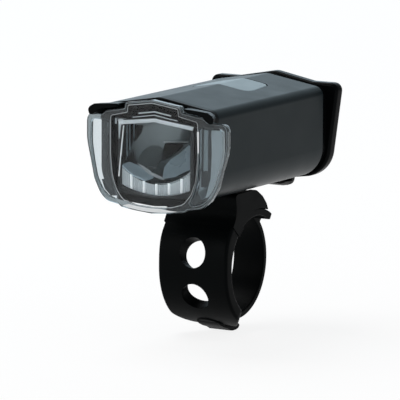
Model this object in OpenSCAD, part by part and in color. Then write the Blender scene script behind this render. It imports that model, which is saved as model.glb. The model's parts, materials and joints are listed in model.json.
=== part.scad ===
// Bicycle headlight on a rubber handlebar strap, lens towards -Y, handlebar along X, in millimetres.
// The origin is the centre of the handlebar under the middle of the strap.

/* [Handlebar mount] */
// Diameter of the handlebar that the strap fits
bar_d = 25.4; // [24:0.1:26.6]
// Width of the saddle along the handlebar
strap_w = 21; // [19:0.5:22]
// Thickness of the rubber strap
strap_t = 3.3; // [3:0.1:3.8]
// Diameter of the strap's fixing holes
hole_d = 7.5; // [6.5:0.1:8.2]
// Angle from one fixing hole to the next
hole_step = 42; // [40:1:45]
// Height of the saddle's top above the handlebar
saddle_h = 6.4; // [6.2:0.1:7.5]
// Thickness of the rubber liner between saddle and handlebar
liner_t = 1.8; // [1.4:0.1:1.9]
// Width of the hook tongue that closes the strap
tongue_w = 9; // [8:0.2:10]
// Thickness of the hook tongue under the strap's free end
tongue_t = 1.6; // [1.2:0.1:2]
// Distance of the swivel screw in front of the handlebar's centre
pivot_reach = 5; // [4.5:0.1:6]

/* [Housing] */
// Width of the housing
body_w = 32.6; // [31:0.1:34]
// Height of the housing from belly to ridge
body_h = 26.6; // [26:0.1:29]
// Reach of the housing in front of the handlebar's centre
front_reach = 31; // [30:0.5:36]
// Reach of the housing behind the handlebar's centre
rear_reach = 22.3; // [21.5:0.1:26]
// Thickness of the housing's wall
wall = 1.6; // [1.3:0.1:1.8]
// Height of the ridge above the centre of the roof corner
eave_drop = 4.8; // [4.5:0.1:6]
// Radius of the roof corner
eave_r = 2.5; // [2.4:0.1:3.5]
// Radius of the soft ridge
ridge_r = 4; // [3.5:0.1:6]
// Radius of the lower side of the housing
belly_r = 8; // [7:0.1:9]
// Rise of the belly from its middle to its sides
belly_rise = 0.6; // [0.4:0.1:1]

/* [Lens and bezel] */
// Width of the lens over its wings
lens_w = 40.6; // [38.5:0.1:44]
// Height of the lens from its lower rim to the top of its tab
lens_h = 28.4; // [27.5:0.1:30]
// Height of the lens's seat rib at the sides of the housing
lens_stand = 0.1; // [0.05:0.05:1]
// Thickness of the lens
lens_t = 1.4; // [1.1:0.1:1.6]
// Radius of the lens front in plan
lens_bend_r = 90; // [82:1:140]
// Depth of the side skirts of the lens
skirt_d = 4.4; // [3:0.1:5]
// Thickness of the bezel's plate
bezel_t = 1.4; // [1:0.1:2]
// Width of the bezel's brow
brow_w = 35; // [34:0.1:36]
// Reach of the brow in front of the bezel's plate
brow_reach = 4.2; // [3:0.1:5]

/* [Reflector] */
// Width of the reflector's window
window_w = 19.8; // [18:0.1:21]
// Width of the frame round the window
window_rim = 1; // [0.8:0.1:1.1]
// Radius of the bowl's mouth
bowl_r = 14.8; // [14:0.1:15]
// Depth of the bowl
bowl_d = 12.8; // [11:0.1:13.5]
// Distance from one rib of the ribbed band to the next
rib_step = 3.6; // [3:0.1:4]

/* [Controls and rear] */
// Size of the power button across the ridge
button_w = 18; // [12:0.5:19]
// Size of the power button along the ridge
button_l = 13.5; // [11:0.5:14]
// Distance of the button's middle behind the handlebar's centre
button_y = 3.6; // [2:0.1:6]
// Thickness of the rear cap's proud lip
cap_t = 3.5; // [3.2:0.1:5]
// Width of the rear cap over its ears
cap_w = 37.4; // [36:0.1:39]
// Width of the charging port's cover
cover_w = 9.6; // [9.4:0.1:12]
// Reach of the cover's finger tab below the housing's belly
tab_drop = 3; // [2:0.1:4]

/* [Hidden] */
$fn = 64;
over = 0.5;
fit_gap = 0.05;
run_gap = 0.08;
slip_gap = 0.15;
seat_gap = 0.2;

// Levels up the part, from the handlebar's centre
bar_r = bar_d / 2;
strap_r = bar_r + strap_t;
liner_r = bar_r + liner_t;
saddle_top = bar_r + saddle_h;
swivel_gap = 0.3;
belly = saddle_top + swivel_gap;
ridge = belly + body_h;
eave = ridge - eave_drop;
half_w = body_w / 2;
corner_z = belly + belly_rise + belly_r;

// Places along the part, lens side negative
shell_front = -front_reach;
shell_rear = rear_reach;
plate_front = shell_front - bezel_t;
gasket_t = 0.3;
gasket_w = 1;
lens_back_r = lens_bend_r - lens_t;
lens_sag = lens_back_r - sqrt(pow(lens_back_r, 2) - pow(half_w, 2));
lens_front = plate_front - gasket_t - lens_stand - lens_t - lens_sag;
spigot_t = 1.2;
spigot_l = 4;

// Strap angles are turned up from the rear of the handlebar, over its top, to its front
strap_inset = 0.5;
strap_root = 138;
first_hole = 164;
hook_hole = first_hole + 2 * hole_step;
strap_end = 280;
taper_start = 233;
tip_shift = 0.77;
tip_r = hole_d / 2 + strap_t;
tip_y = strap_r * cos(hook_hole) - tip_shift;
tip_x_share = 0.93;
neck_angle = 7;
neck_t = 1;
neck_r = strap_r - strap_t / 3;
root_bead_r = 0.95;
root_inset = 2.5;
liner_inset = 0.8;
liner_root = strap_root - 2 * neck_angle;
liner_end = 57.7;
tongue_end = hook_hole - 9;
hook_root = 90;
step_angle = 16;
bead_r = 1.3;
bead_place_r = strap_r + 0.1 * strap_t;
lip_t = 0.7;
lip_inset = 0.3;
lip_back_angle = 8;
lip_step_angle = 15;
lip_end_angle = 31;
recess_angle = 2;

// Swivel between saddle and housing
screw_r = 1.5;
screw_head_r = 2.75;
screw_head_t = 1.9;
screw_head_bottom = liner_r + 2 * fit_gap;
saddle_web = 2.2;
washer_r = 3.9;
washer_sink = 0.2;
insert_r = 2.3;
insert_l = 4;
screw_top = belly + wall + seat_gap + insert_l - 2 * seat_gap;

// Side of the saddle: places along Y as shares of its height, and heights above the handlebar alike
saddle_shares = [
    [-1.86, -0.55], [-1.72, 0.13], [-1.74, 0.59], [-1.82, 1], [-0.2, 1],
    [0.32, 0.76], [0.64, 0.43], [0.77, 0.17], [0.77, -0.1]
];
saddle_edge = 1.7;
saddle_edge_rise = 0.5;

// Light unit
flange_t = 1;
flange_front = plate_front - flange_t;
flange_inset = seat_gap + gasket_w + slip_gap;
axis_drop = 6.6;
axis_z = ridge - axis_drop;
gable_rise = 1.4;
gable_drop = 5;
gable_top = ridge - gable_drop;
window_recess = 0.5;
bowl_wall = 1;
bowl_focus = bowl_r * bowl_r / (4 * bowl_d);
bowl_back = flange_front + bowl_d;
band_r = 25;
band_rise = 2.1;
band_bottom = belly + band_rise;
block_w = window_w + 2 * bowl_wall;
block_gap = wall + slip_gap + spigot_t + slip_gap;
rib_r = 0.8;
collar_w = 26.4;
led_board_w = block_w - 4 * slip_gap;
led_board_l = 10.8;
led_board_front = shell_front + seat_gap;
led_w = 3.5;
led_h = 0.8;
dome_r = 1.25;
sink_w = 16;
sink_y = shell_front + spigot_l + slip_gap;
sink_base = 0.8;
sink_h = 2;
fin_t = 0.8;
fin_step = 2.4;

// Inside the housing
chassis_gap = wall + seat_gap;
chassis_drop = 5.2;
chassis_top = eave - chassis_drop;
chassis_room = 1.1;
chassis_front = bowl_back + bowl_wall + chassis_room;
chassis_rear = shell_rear - spigot_l - 4 * seat_gap;
chassis_floor = belly + wall + seat_gap + insert_l + seat_gap;
chassis_side = 2;
chassis_end = 1.3;
chassis_back = 3.3;
cell_h = 9.2;
cell_r = 2;
board_t = 1.2;
board_top = chassis_top + board_t;
inductor_r = 3;
inductor_h = 3;
chip_w = 5;
chip_l = 4;
chip_h = 1.1;
lead_r = 0.45;
lead_x = 2.2;

// Lens outline, right half: shares of its half width and of its height
lens_shares = [
    [0, 0], [0.25, 0.014], [0.45, 0.032], [0.49, 0.053], [0.67, 0.07], [0.78, 0.134],
    [0.877, 0.257], [0.93, 0.41], [0.985, 0.553], [1, 0.62], [1, 0.78], [0.965, 0.82],
    [0.76, 0.83], [0.7, 0.866], [0.404, 0.908], [0.394, 0.958], [0, 1]
];
// Rear edge of the skirts: shares of the skirt's depth and of the lens height
skirt_shares = [
    [-0.3, 0.82], [0.3, 0.82], [0.85, 0.764], [1, 0.715], [0.55, 0.58], [0.1, 0.36], [-0.3, 0.36]
];
skirt_t = 1.2;
skirt_lead = 2;
skirt_front = plate_front - skirt_lead;
lens_drop = 0.3;
lens_bottom = ridge - lens_drop - lens_h;
// Brow outline, right half: shares of its half width and of its height above the eave
brow_shares = [
    [0.48, 0.92], [0.82, 0.70], [0.91, 0.35], [0.95, 0.02], [0.99, 0.02],
    [1, 0.35], [0.97, 0.72], [0.9, 0.9], [0.48, 1.3]
];
brow_h = 2.6;

// Power button and switch
button_r = 3;
button_taper = 1.5;
button_t = 0.9;
seal_t = 0.8;
seal_margin = 1.6;
stem_r = 1.5;
switch_w = 6;
switch_h = 3.5;
plunger_r = 1.7;
plunger_h = 1.5;
plunger_sink = 0.7;
plunger_room = 1.2;
press_gap = 0.1;

// Rear cap and charging port
groove_inset = 0.7;
cap_gasket_t = 1.2;
groove_l = 1.5;
lip_front = shell_rear + cap_gasket_t + groove_l;
lip_rear = lip_front + cap_t;
lip_edge = 0.5;
ear_r = 2;
ear_w = 6;
ear_rise = 1;
ear_z = eave + ear_rise;
cap_foot_w = 17.2;
cap_boss_r = 2.2;
cap_screw_r = 1;
cap_screw_head_r = 1.9;
cap_screw_head_t = 1.2;
cap_screw_inset = 5.1;
cap_screw_x = half_w - cap_screw_inset;
cover_pivot_rise = 11.6;
cover_pivot_z = belly + cover_pivot_rise;
cap_screw_l = 12;
port_floor = 1.7;
cover_t = 1.5;
cover_gap = 0.3;
port_rise = 7.5;
port_z = belly + port_rise;
port_w = 7.6;
port_h = 2.7;
port_l = 5.5;
port_skin = 0.3;
tongue_share = 0.5;
plug_w = 5.4;
plug_h = 1;
plug_l = 1.4;
port_board_room = 2;
port_board_w = 2 * (cap_screw_x - cap_boss_r - port_board_room);
port_board_h = 10;
port_board_rise = 4;
port_board_z = belly + port_board_rise;
port_board_stand = 2;
port_post_r = 1.3;

// Extrudes an outline drawn in X and Z from y0 to y1
module along_y(y0, y1) {
    translate([0, y1, 0]) rotate([90, 0, 0]) linear_extrude(y1 - y0) children();
}

// Extrudes an outline drawn in Y and Z across the part, w wide
module across_x(w) {
    rotate([90, 0, 90]) translate([0, 0, -w / 2]) linear_extrude(w) children();
}

// Side view of part of a ring round the handlebar, from radius r0 to r1 and from angle a0 to a1
module arc(r0, r1, a0, a1) {
    steps = 8;
    intersection() {
        difference() {
            circle(r = r1);
            circle(r = r0);
        }
        polygon(concat([[0, 0]], [
            for (i = [0:steps]) 2 * r1 * [cos(a0 + (a1 - a0) * i / steps), sin(a0 + (a1 - a0) * i / steps)]
        ]));
    }
}

// Side view of a bead at an angle and a distance from the handlebar's centre
module bead(angle, r, place_r) {
    translate(place_r * [cos(angle), sin(angle)]) circle(r = r);
}

// Round rod that points out from the handlebar, from radius r0 to r1
module spoke(angle, r, r0, r1) {
    rotate([angle - 90, 0, 0]) translate([0, 0, r0]) cylinder(r = r, h = r1 - r0);
}

module rounded(w, l, r) {
    square([w - 2 * r, l], center = true);
    square([w, l - 2 * r], center = true);
    for (x = [-1, 1], y = [-1, 1]) translate([x * (w / 2 - r), y * (l / 2 - r)]) circle(r = r);
}

module both_sides() {
    children();
    mirror([1, 0, 0]) children();
}

// Outline of the housing, seen from the front, inset all round
module body_outline(inset = 0) {
    offset(delta = -inset) hull() {
        translate([0, ridge - ridge_r]) circle(r = ridge_r);
        translate([0, belly + belly_r]) circle(r = belly_r);
        for (side = [-1, 1]) {
            translate([side * (half_w - eave_r), eave]) circle(r = eave_r);
            translate([side * (half_w - belly_r), corner_z]) circle(r = belly_r);
        }
    }
}

module body_ring(outer, inner) {
    difference() {
        body_outline(outer);
        body_outline(inner);
    }
}

// Everything below the height z, as an outline
module below(z) {
    translate([-body_w, belly - body_h]) square([2 * body_w, z - belly + body_h]);
}

module band(half_width) {
    translate([-half_width, belly - body_h]) square([2 * half_width, 3 * body_h]);
}

// Points of a mirrored outline from its right half
function mirrored(half) = concat(
    half, [for (i = [len(half) - 1:-1:0]) if (half[i][0] > 0) [-half[i][0], half[i][1]]]
);

module lens_outline() {
    polygon(mirrored([for (s = lens_shares) [s[0] * lens_w / 2, lens_bottom + s[1] * lens_h]]));
}

// Outline of the lens's seat on the bezel, which keeps clear of the brow
module seat_outline(inset = 0) {
    offset(delta = -inset) intersection() {
        body_outline(seat_gap);
        offset(delta = -seat_gap) lens_outline();
    }
}

module seat_ring() {
    difference() {
        seat_outline();
        seat_outline(gasket_w);
    }
}

// Body of a lens surface: everything behind an upright cylinder's front
module bend(depth) {
    translate([0, lens_front + lens_bend_r, lens_bottom - over])
        cylinder(r = lens_bend_r - depth, h = lens_h + 2 * over, $fn = 180);
}

// Outline of the power button from above, narrower towards the rear
module button_outline(inset = 0) {
    hull() for (side = [-1, 1]) {
        translate([side * (button_w / 2 - button_r), button_r - button_l / 2])
            circle(r = button_r - inset);
        translate([side * (button_w / 2 - button_taper - button_r), button_l / 2 - button_r])
            circle(r = button_r - inset);
    }
}

module housing_shell() {
    color([0.28, 0.31, 0.33]) difference() {
        along_y(shell_front, shell_rear) body_outline();
        along_y(shell_front - over, shell_rear + over) body_outline(wall);
        translate([0, button_y, eave]) linear_extrude(body_h) button_outline();
        translate([0, -pivot_reach, belly - over]) cylinder(r = screw_r + over, h = wall + 2 * over);
    }
}

module brow() {
    along_y(plate_front - brow_reach, shell_front)
        polygon([for (s = brow_shares) [s[0] * brow_w / 2, eave + s[1] * brow_h]]);
}

// Side walls that stand off the bezel's plate beside the reflector
module collar() {
    intersection() {
        along_y(lens_front, plate_front + bezel_t / 2) intersection() {
            body_outline(flange_inset);
            below(axis_z);
            difference() {
                band(collar_w / 2);
                band(block_w / 2 + slip_gap);
            }
        }
        bend(lens_t + slip_gap);
    }
}

module front_bezel() {
    color([0.04, 0.04, 0.045]) {
        difference() {
            along_y(plate_front, shell_front) body_outline();
            along_y(plate_front - over, shell_front + over) intersection() {
                body_outline(block_gap - slip_gap);
                band(block_w / 2 + slip_gap);
                below(axis_z + slip_gap);
            }
        }
        along_y(shell_front, shell_front + spigot_l)
            body_ring(wall + slip_gap, wall + slip_gap + spigot_t);
        both_sides() brow();
        collar();
    }
}

module lens() {
    color([0.85, 0.92, 0.95, 0.4]) {
        difference() {
            intersection() {
                along_y(lens_front - over, shell_front + over) lens_outline();
                bend(0);
            }
            bend(lens_t);
        }
        intersection() {
            along_y(lens_front, plate_front - gasket_t) seat_ring();
            bend(lens_t / 2);
        }
        intersection() {
            along_y(lens_front, lens_front + 3 * skirt_d) difference() {
                lens_outline();
                offset(delta = -skirt_t) lens_outline();
            }
            bend(lens_t / 2);
            across_x(lens_w + over) polygon([
                for (s = skirt_shares) [skirt_front + s[0] * skirt_d, lens_bottom + s[1] * lens_h]
            ]);
            union() both_sides() translate([half_w + seat_gap, lens_front, lens_bottom])
                cube([lens_w, 3 * skirt_d, lens_h]);
        }
    }
}

module front_gasket() {
    color([0.1, 0.1, 0.1]) along_y(plate_front - gasket_t, plate_front) seat_ring();
}

// Gabled top of the light window, with its peak at z
module gable(half_width, z) {
    polygon([
        [-half_width, belly - body_h], [half_width, belly - body_h],
        [half_width, z - gable_rise], [0, z], [-half_width, z - gable_rise]
    ]);
}

module window_outline() {
    intersection() {
        gable(window_w / 2, gable_top - window_rim);
        translate([0, band_bottom + band_r]) circle(r = band_r);
    }
}

module bowl_void() {
    steps = 9;
    mouth = bowl_r * 1.05;
    translate([0, bowl_back, axis_z]) rotate([90, 0, 0]) rotate_extrude()
        polygon(concat(
            [for (i = [0:steps]) [mouth * i / steps, pow(mouth * i / steps, 2) / (4 * bowl_focus)]],
            [[0, mouth * mouth / (4 * bowl_focus)]]
        ));
}

module reflector() {
    color([0.78, 0.8, 0.82]) {
        difference() {
            union() {
                intersection() {
                    along_y(lens_front, plate_front) intersection() {
                        body_outline(flange_inset);
                        gable(block_w / 2, gable_top);
                    }
                    bend(lens_t + slip_gap);
                }
                along_y(plate_front, bowl_back + bowl_wall) intersection() {
                    body_outline(block_gap);
                    band(block_w / 2);
                    below(axis_z);
                }
            }
            along_y(lens_front, flange_front + window_recess) window_outline();
            intersection() {
                bowl_void();
                along_y(lens_front, bowl_back + over) window_outline();
            }
        }
        difference() {
            intersection() {
                for (i = [-2:2]) translate([i * rib_step, flange_front + window_recess, band_bottom])
                    cylinder(r = rib_r, h = bowl_r, $fn = 32);
                along_y(flange_front, plate_front) window_outline();
            }
            along_y(flange_front - over, plate_front + over) translate([0, axis_z])
                circle(r = bowl_r);
        }
    }
}

module led_emitter() {
    color([0.95, 0.85, 0.4]) translate([0, bowl_back - bowl_focus, axis_z - led_h]) {
        translate([-led_w / 2, -led_w / 2, 0]) cube([led_w, led_w, led_h]);
        translate([0, 0, -led_h / 2]) cylinder(r = dome_r, h = led_h);
    }
}

module led_board() {
    color([0.85, 0.86, 0.85]) translate([-led_board_w / 2, led_board_front, axis_z])
        cube([led_board_w, led_board_l, board_t]);
}

module heat_sink() {
    sink_l = led_board_front + led_board_l - 4 * lead_r - sink_y;
    color([0.7, 0.71, 0.72]) translate([-sink_w / 2, sink_y, axis_z + board_t]) {
        cube([sink_w, sink_l, sink_base]);
        for (x = [0:fin_step:sink_w - fin_t]) translate([x, 0, 0]) cube([fin_t, sink_l, sink_h]);
    }
}

module chassis() {
    color([0.2, 0.2, 0.21]) {
        difference() {
            along_y(chassis_front, chassis_rear) intersection() {
                body_outline(chassis_gap);
                below(chassis_top);
            }
            translate([-half_w + chassis_gap + chassis_side, chassis_front + chassis_end, chassis_floor])
                cube([
                    body_w - 2 * (chassis_gap + chassis_side),
                    chassis_rear - chassis_front - chassis_end - chassis_back, body_h
                ]);
            translate([0, -pivot_reach, belly]) cylinder(r = insert_r + fit_gap, h = body_h);
            for (x = [-1, 1]) translate([x * cap_screw_x, chassis_rear + over, cover_pivot_z])
                rotate([90, 0, 0]) cylinder(r = cap_screw_r + fit_gap, h = chassis_back + 2 * over);
        }
        for (x = [-1, 1], z = [port_board_z + 2 * port_post_r, port_board_z + port_board_h - 2 * port_post_r])
            translate([x * (port_board_w / 2 - 2 * port_post_r), chassis_rear + port_board_stand, z])
                rotate([90, 0, 0]) cylinder(r = port_post_r, h = port_board_stand + over);
    }
}

module battery_cell() {
    cell_w = body_w - 2 * (chassis_gap + chassis_side + seat_gap);
    cell_front = chassis_front + chassis_end + seat_gap;
    color([0.75, 0.77, 0.8]) along_y(cell_front, chassis_rear - chassis_back - 4 * lead_r)
        translate([0, chassis_floor + fit_gap + cell_h / 2]) rounded(cell_w, cell_h, cell_r);
}

module main_board() {
    board_w = body_w - 2 * (wall + 3 * seat_gap);
    color([0.1, 0.35, 0.18]) translate([-board_w / 2, chassis_front + seat_gap, chassis_top])
        cube([board_w, chassis_rear - chassis_front - 2 * seat_gap, board_t]);
}

module driver_inductor() {
    color([0.3, 0.3, 0.32]) translate([-half_w / 2, chassis_front + 3 * inductor_r, board_top])
        cylinder(r = inductor_r, h = inductor_h);
}

module charge_chip() {
    color([0.08, 0.08, 0.08]) translate([half_w / 3, chassis_front + 2 * chip_l, board_top])
        cube([chip_w, chip_l, chip_h]);
}

module tact_switch() {
    color([0.12, 0.12, 0.13]) translate([0, button_y, board_top]) difference() {
        translate([-switch_w / 2, -switch_w / 2, 0]) cube([switch_w, switch_w, switch_h]);
        translate([0, 0, switch_h - plunger_room])
            cylinder(r = plunger_r + press_gap, h = plunger_room + over);
    }
}

module switch_plunger() {
    color([0.85, 0.85, 0.82]) translate([0, button_y, board_top + switch_h - plunger_sink])
        cylinder(r = plunger_r, h = plunger_h);
}

module power_button() {
    plunger_top = board_top + switch_h - plunger_sink + plunger_h;
    color([0.68, 0.72, 0.75]) {
        intersection() {
            along_y(button_y - button_l, button_y + button_l) body_ring(0, button_t);
            translate([0, button_y, eave]) linear_extrude(body_h) button_outline(seat_gap);
        }
        translate([0, button_y, plunger_top + press_gap])
            cylinder(r = stem_r, h = ridge - button_t / 2 - plunger_top - press_gap);
    }
}

module button_seal() {
    color([0.12, 0.12, 0.12]) difference() {
        intersection() {
            along_y(button_y - button_l, button_y + button_l)
                body_ring(wall + press_gap, wall + press_gap + seal_t);
            translate([0, button_y, eave]) linear_extrude(body_h) button_outline(-seal_margin);
        }
        translate([0, button_y, eave]) cylinder(r = stem_r + over, h = body_h);
    }
}

// Outline of the rear cap: a low gable between two level ears, over a narrower foot
module cap_outline(inset = 0) {
    offset(delta = -inset) {
        hull() {
            translate([0, ridge + seat_gap - ridge_r]) circle(r = ridge_r);
            for (side = [-1, 1]) translate([side * (cap_w / 2 - ear_w - ear_r), ear_z]) circle(r = ear_r);
        }
        hull() {
            translate([0, belly - 2 * belly_rise + belly_r]) circle(r = belly_r);
            for (side = [-1, 1]) {
                translate([side * (cap_w / 2 - ear_r), ear_z]) circle(r = ear_r);
                translate([side * cap_foot_w / 2, corner_z - belly_rise]) circle(r = belly_r);
            }
        }
    }
}

module cap_screw_places() {
    for (x = [-1, 1]) translate([x * cap_screw_x, 0, cover_pivot_z]) rotate([-90, 0, 0]) children();
}

module rear_cap() {
    recess_w = cover_w + 2 * seat_gap;
    recess_top = cover_pivot_z + cover_t / 2 + cover_gap;
    color([0.04, 0.04, 0.045]) difference() {
        union() {
            along_y(lip_front, lip_rear) cap_outline(lip_edge);
            along_y(lip_front + lip_edge, lip_rear - lip_edge) cap_outline();
            along_y(lip_front - groove_l, lip_front) body_outline(groove_inset);
            along_y(shell_rear - spigot_l, lip_front - groove_l) body_outline(wall + slip_gap);
        }
        difference() {
            along_y(shell_rear - spigot_l - over, lip_front)
                body_outline(wall + slip_gap + spigot_t);
            cap_screw_places() translate([0, 0, chassis_rear + seat_gap])
                cylinder(r = cap_boss_r, h = lip_rear - chassis_rear);
        }
        along_y(lip_front + port_floor, lip_rear + over)
            translate([-recess_w / 2, belly - body_h]) square([recess_w, recess_top - belly + body_h]);
        along_y(lip_front - over, lip_rear) translate([0, port_z])
            rounded(port_w + 4 * seat_gap, port_h + 4 * seat_gap, seat_gap);
        cap_screw_places() {
            cylinder(r = cap_screw_r + slip_gap, h = 2 * lip_rear);
            translate([0, 0, lip_rear - cap_screw_head_t - seat_gap])
                cylinder(r = cap_screw_head_r + slip_gap, h = lip_rear);
        }
    }
}

module rear_gasket() {
    color([0.1, 0.1, 0.1]) along_y(shell_rear, shell_rear + cap_gasket_t)
        body_ring(groove_inset, wall);
}

module rear_screws() {
    head_front = lip_rear - cap_screw_head_t - seat_gap;
    color([0.55, 0.55, 0.57]) cap_screw_places() {
        translate([0, 0, head_front]) difference() {
            cylinder(r = cap_screw_head_r, h = cap_screw_head_t);
            translate([0, 0, cap_screw_head_t / 2])
                cylinder(r = cap_screw_head_r / 2, h = cap_screw_head_t, $fn = 6);
        }
        translate([0, 0, head_front - cap_screw_l]) cylinder(r = cap_screw_r, h = cap_screw_l);
    }
}

module port_board() {
    color([0.1, 0.35, 0.18]) translate([-port_board_w / 2, chassis_rear + port_board_stand, port_board_z])
        cube([port_board_w, board_t, port_board_h]);
}

module usb_socket() {
    socket_y = chassis_rear + port_board_stand + board_t;
    mouth_l = port_l - 2 * port_skin;
    color([0.75, 0.76, 0.78]) {
        difference() {
            along_y(socket_y, socket_y + port_l) translate([0, port_z]) rounded(port_w, port_h, 2 * port_skin);
            along_y(socket_y + 2 * port_skin, socket_y + port_l + over) translate([0, port_z])
                rounded(port_w - 2 * port_skin, port_h - 2 * port_skin, port_skin);
        }
        translate([-port_w * tongue_share / 2, socket_y, port_z])
            cube([port_w * tongue_share, mouth_l - 2 * port_skin, 2 * port_skin]);
    }
}

module port_cover() {
    cover_front = lip_front + port_floor + seat_gap;
    cover_foot = belly - tab_drop;
    corner = cover_w / 4;
    color([0.05, 0.05, 0.05]) {
        along_y(cover_front, cover_front + cover_t) {
            translate([-cover_w / 2, cover_foot + corner])
                square([cover_w, cover_pivot_z - cover_foot - corner]);
            translate([-cover_w / 2 + corner, cover_foot]) square([cover_w - 2 * corner, 2 * corner]);
            for (x = [-1, 1]) translate([x * (cover_w / 2 - corner), cover_foot + corner]) circle(r = corner);
        }
        translate([-cover_w / 2, cover_front + cover_t / 2, cover_pivot_z]) rotate([0, 90, 0])
            cylinder(r = cover_t / 2, h = cover_w);
        translate([-plug_w / 2, cover_front - plug_l, port_z - plug_h / 2])
            cube([plug_w, plug_l + over, plug_h]);
    }
}

// Insulated lead along a list of places, with round corners
module lead(places) {
    for (i = [1:len(places) - 1]) {
        run = places[i] - places[i - 1];
        length = norm(run);
        translate(places[i - 1]) rotate([0, acos(run[2] / length), atan2(run[1], run[0])])
            cylinder(r = lead_r, h = length, $fn = 24);
    }
    for (i = [1:len(places) - 2]) translate(places[i]) sphere(r = lead_r, $fn = 24);
}

module battery_leads() {
    cell_rear = chassis_rear - chassis_back - 4 * lead_r;
    lead_z = chassis_floor + cell_h / 2;
    color([0.7, 0.1, 0.1]) for (x = [-lead_x, lead_x])
        lead([
            [x, cell_rear, lead_z], [x, cell_rear + 2 * lead_r, lead_z],
            [x, cell_rear + 2 * lead_r, chassis_top]
        ]);
}

module led_leads() {
    lead_front = led_board_front + led_board_l - 2 * lead_r;
    lead_top = axis_z + board_t + 2 * lead_r;
    color([0.75, 0.75, 0.72]) for (x = [-lead_x, lead_x])
        lead([
            [x, lead_front, axis_z + board_t], [x, lead_front, lead_top],
            [x, chassis_front + 3 * lead_r, lead_top], [x, chassis_front + 3 * lead_r, board_top]
        ]);
}

module saddle() {
    edge = strap_w / 2;
    color([0.06, 0.06, 0.06]) difference() {
        intersection() {
            across_x(strap_w) polygon([
                for (s = saddle_shares) [s[0] * saddle_h, bar_r + s[1] * saddle_h + max(0, 4 * s[1] - 3) * saddle_edge_rise]
            ]);
            along_y(-2 * strap_r, 2 * strap_r) polygon(mirrored([
                [0, 0], [edge, 0], [edge, saddle_top + saddle_edge_rise],
                [edge - saddle_edge, saddle_top + saddle_edge_rise], [edge - 2 * saddle_edge, saddle_top],
                [0, saddle_top]
            ]));
        }
        across_x(2 * strap_w) {
            circle(r = bar_r + slip_gap);
            arc(liner_t, liner_r + fit_gap, hook_root - hole_step, liner_root + 1);
            arc(liner_t, strap_r + slip_gap, strap_root, strap_root + hole_step);
        }
        across_x(strap_w - 2 * (root_inset - fit_gap)) {
            arc(neck_r - neck_t / 2 - fit_gap, neck_r + neck_t / 2 + fit_gap, strap_root - neck_angle,
                strap_root + 1);
            bead(strap_root - neck_angle, root_bead_r + fit_gap, neck_r);
        }
        across_x(tongue_w + 2 * seat_gap) {
            arc(bar_r, strap_r + fit_gap, hook_root - hole_step, hook_root);
            bead(hook_root, bead_r + fit_gap, bead_place_r);
        }
        translate([0, -pivot_reach, 0]) {
            cylinder(r = screw_r + run_gap, h = 2 * saddle_top);
            cylinder(r = screw_head_r + slip_gap, h = saddle_top - washer_sink - saddle_web);
            translate([0, 0, saddle_top - washer_sink]) cylinder(r = washer_r + slip_gap, h = saddle_h);
        }
    }
}

module liner_pad() {
    color([0.09, 0.09, 0.09]) across_x(strap_w - 2 * liner_inset)
        arc(bar_r, liner_r, liner_end, liner_root);
}

// Outline of the strap from above, which narrows to a round end about its last hole
module strap_outline() {
    half = strap_w / 2 - strap_inset;
    taper_y = strap_r * cos(taper_start);
    tip_x = tip_x_share * tip_r;
    polygon([
        [-half, -2 * strap_r], [half, -2 * strap_r], [half, taper_y], [tip_x, tip_y + tip_r / 3],
        [-tip_x, tip_y + tip_r / 3], [-half, taper_y]
    ]);
    translate([0, tip_y]) circle(r = tip_r);
}

module front_strap() {
    color([0.05, 0.05, 0.05]) {
        difference() {
            intersection() {
                across_x(strap_w) arc(bar_r, strap_r, strap_root, strap_end);
                translate([0, 0, -2 * strap_r]) linear_extrude(4 * strap_r) strap_outline();
            }
            for (i = [0:2]) spoke(first_hole + i * hole_step, hole_d / 2, liner_t, 2 * strap_r);
            across_x(tongue_w + 2 * seat_gap)
                arc(liner_t, bar_r + tongue_t + seat_gap, tongue_end - recess_angle,
                    strap_end + 2 * recess_angle);
        }
        across_x(strap_w - 2 * root_inset) {
            arc(neck_r - neck_t / 2, neck_r + neck_t / 2, strap_root - neck_angle, strap_root + 1);
            bead(strap_root - neck_angle, root_bead_r, neck_r);
        }
    }
}

module hook_strap() {
    peg_r = hole_d / 2 - slip_gap;
    color([0.05, 0.05, 0.05]) {
        across_x(tongue_w) {
            arc(liner_r + fit_gap, strap_r, liner_end - step_angle, hook_root);
            arc(bar_r + tongue_t / 2, strap_r - neck_t / 2, liner_end - step_angle + 1, liner_end - 1);
            arc(bar_r, bar_r + tongue_t, tongue_end - 360, liner_end - 1);
            bead(hook_root, bead_r, bead_place_r);
        }
        spoke(hook_hole, peg_r, bar_r + tongue_t / 2, strap_r + lip_t / 2);
        across_x(2 * (peg_r - lip_inset)) {
            arc(strap_r + fit_gap, strap_r + lip_t, hook_hole - lip_back_angle, hook_hole + lip_step_angle);
            arc(strap_r + fit_gap, strap_r + 2 * lip_t, hook_hole + lip_step_angle - 1,
                hook_hole + lip_end_angle);
        }
    }
}

module pivot_screw() {
    color([0.6, 0.6, 0.62]) translate([0, -pivot_reach, 0]) {
        translate([0, 0, screw_head_bottom]) difference() {
            cylinder(r = screw_head_r, h = screw_head_t);
            translate([0, 0, -over]) cylinder(r = screw_r, h = over + screw_head_t / 2, $fn = 6);
        }
        translate([0, 0, screw_head_bottom + screw_head_t / 2])
            cylinder(r = screw_r, h = screw_top - screw_head_bottom - screw_head_t / 2);
    }
}

module pivot_insert() {
    color([0.8, 0.65, 0.3]) translate([0, -pivot_reach, belly + wall + seat_gap]) difference() {
        cylinder(r = insert_r, h = insert_l);
        translate([0, 0, -over]) cylinder(r = screw_r + fit_gap, h = insert_l + 2 * over);
    }
}

module friction_washer() {
    color([0.9, 0.9, 0.88]) translate([0, -pivot_reach, saddle_top - washer_sink]) difference() {
        cylinder(r = washer_r, h = washer_sink + swivel_gap);
        translate([0, 0, -over]) cylinder(r = screw_r + slip_gap, h = washer_sink + 3 * over);
    }
}

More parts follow.
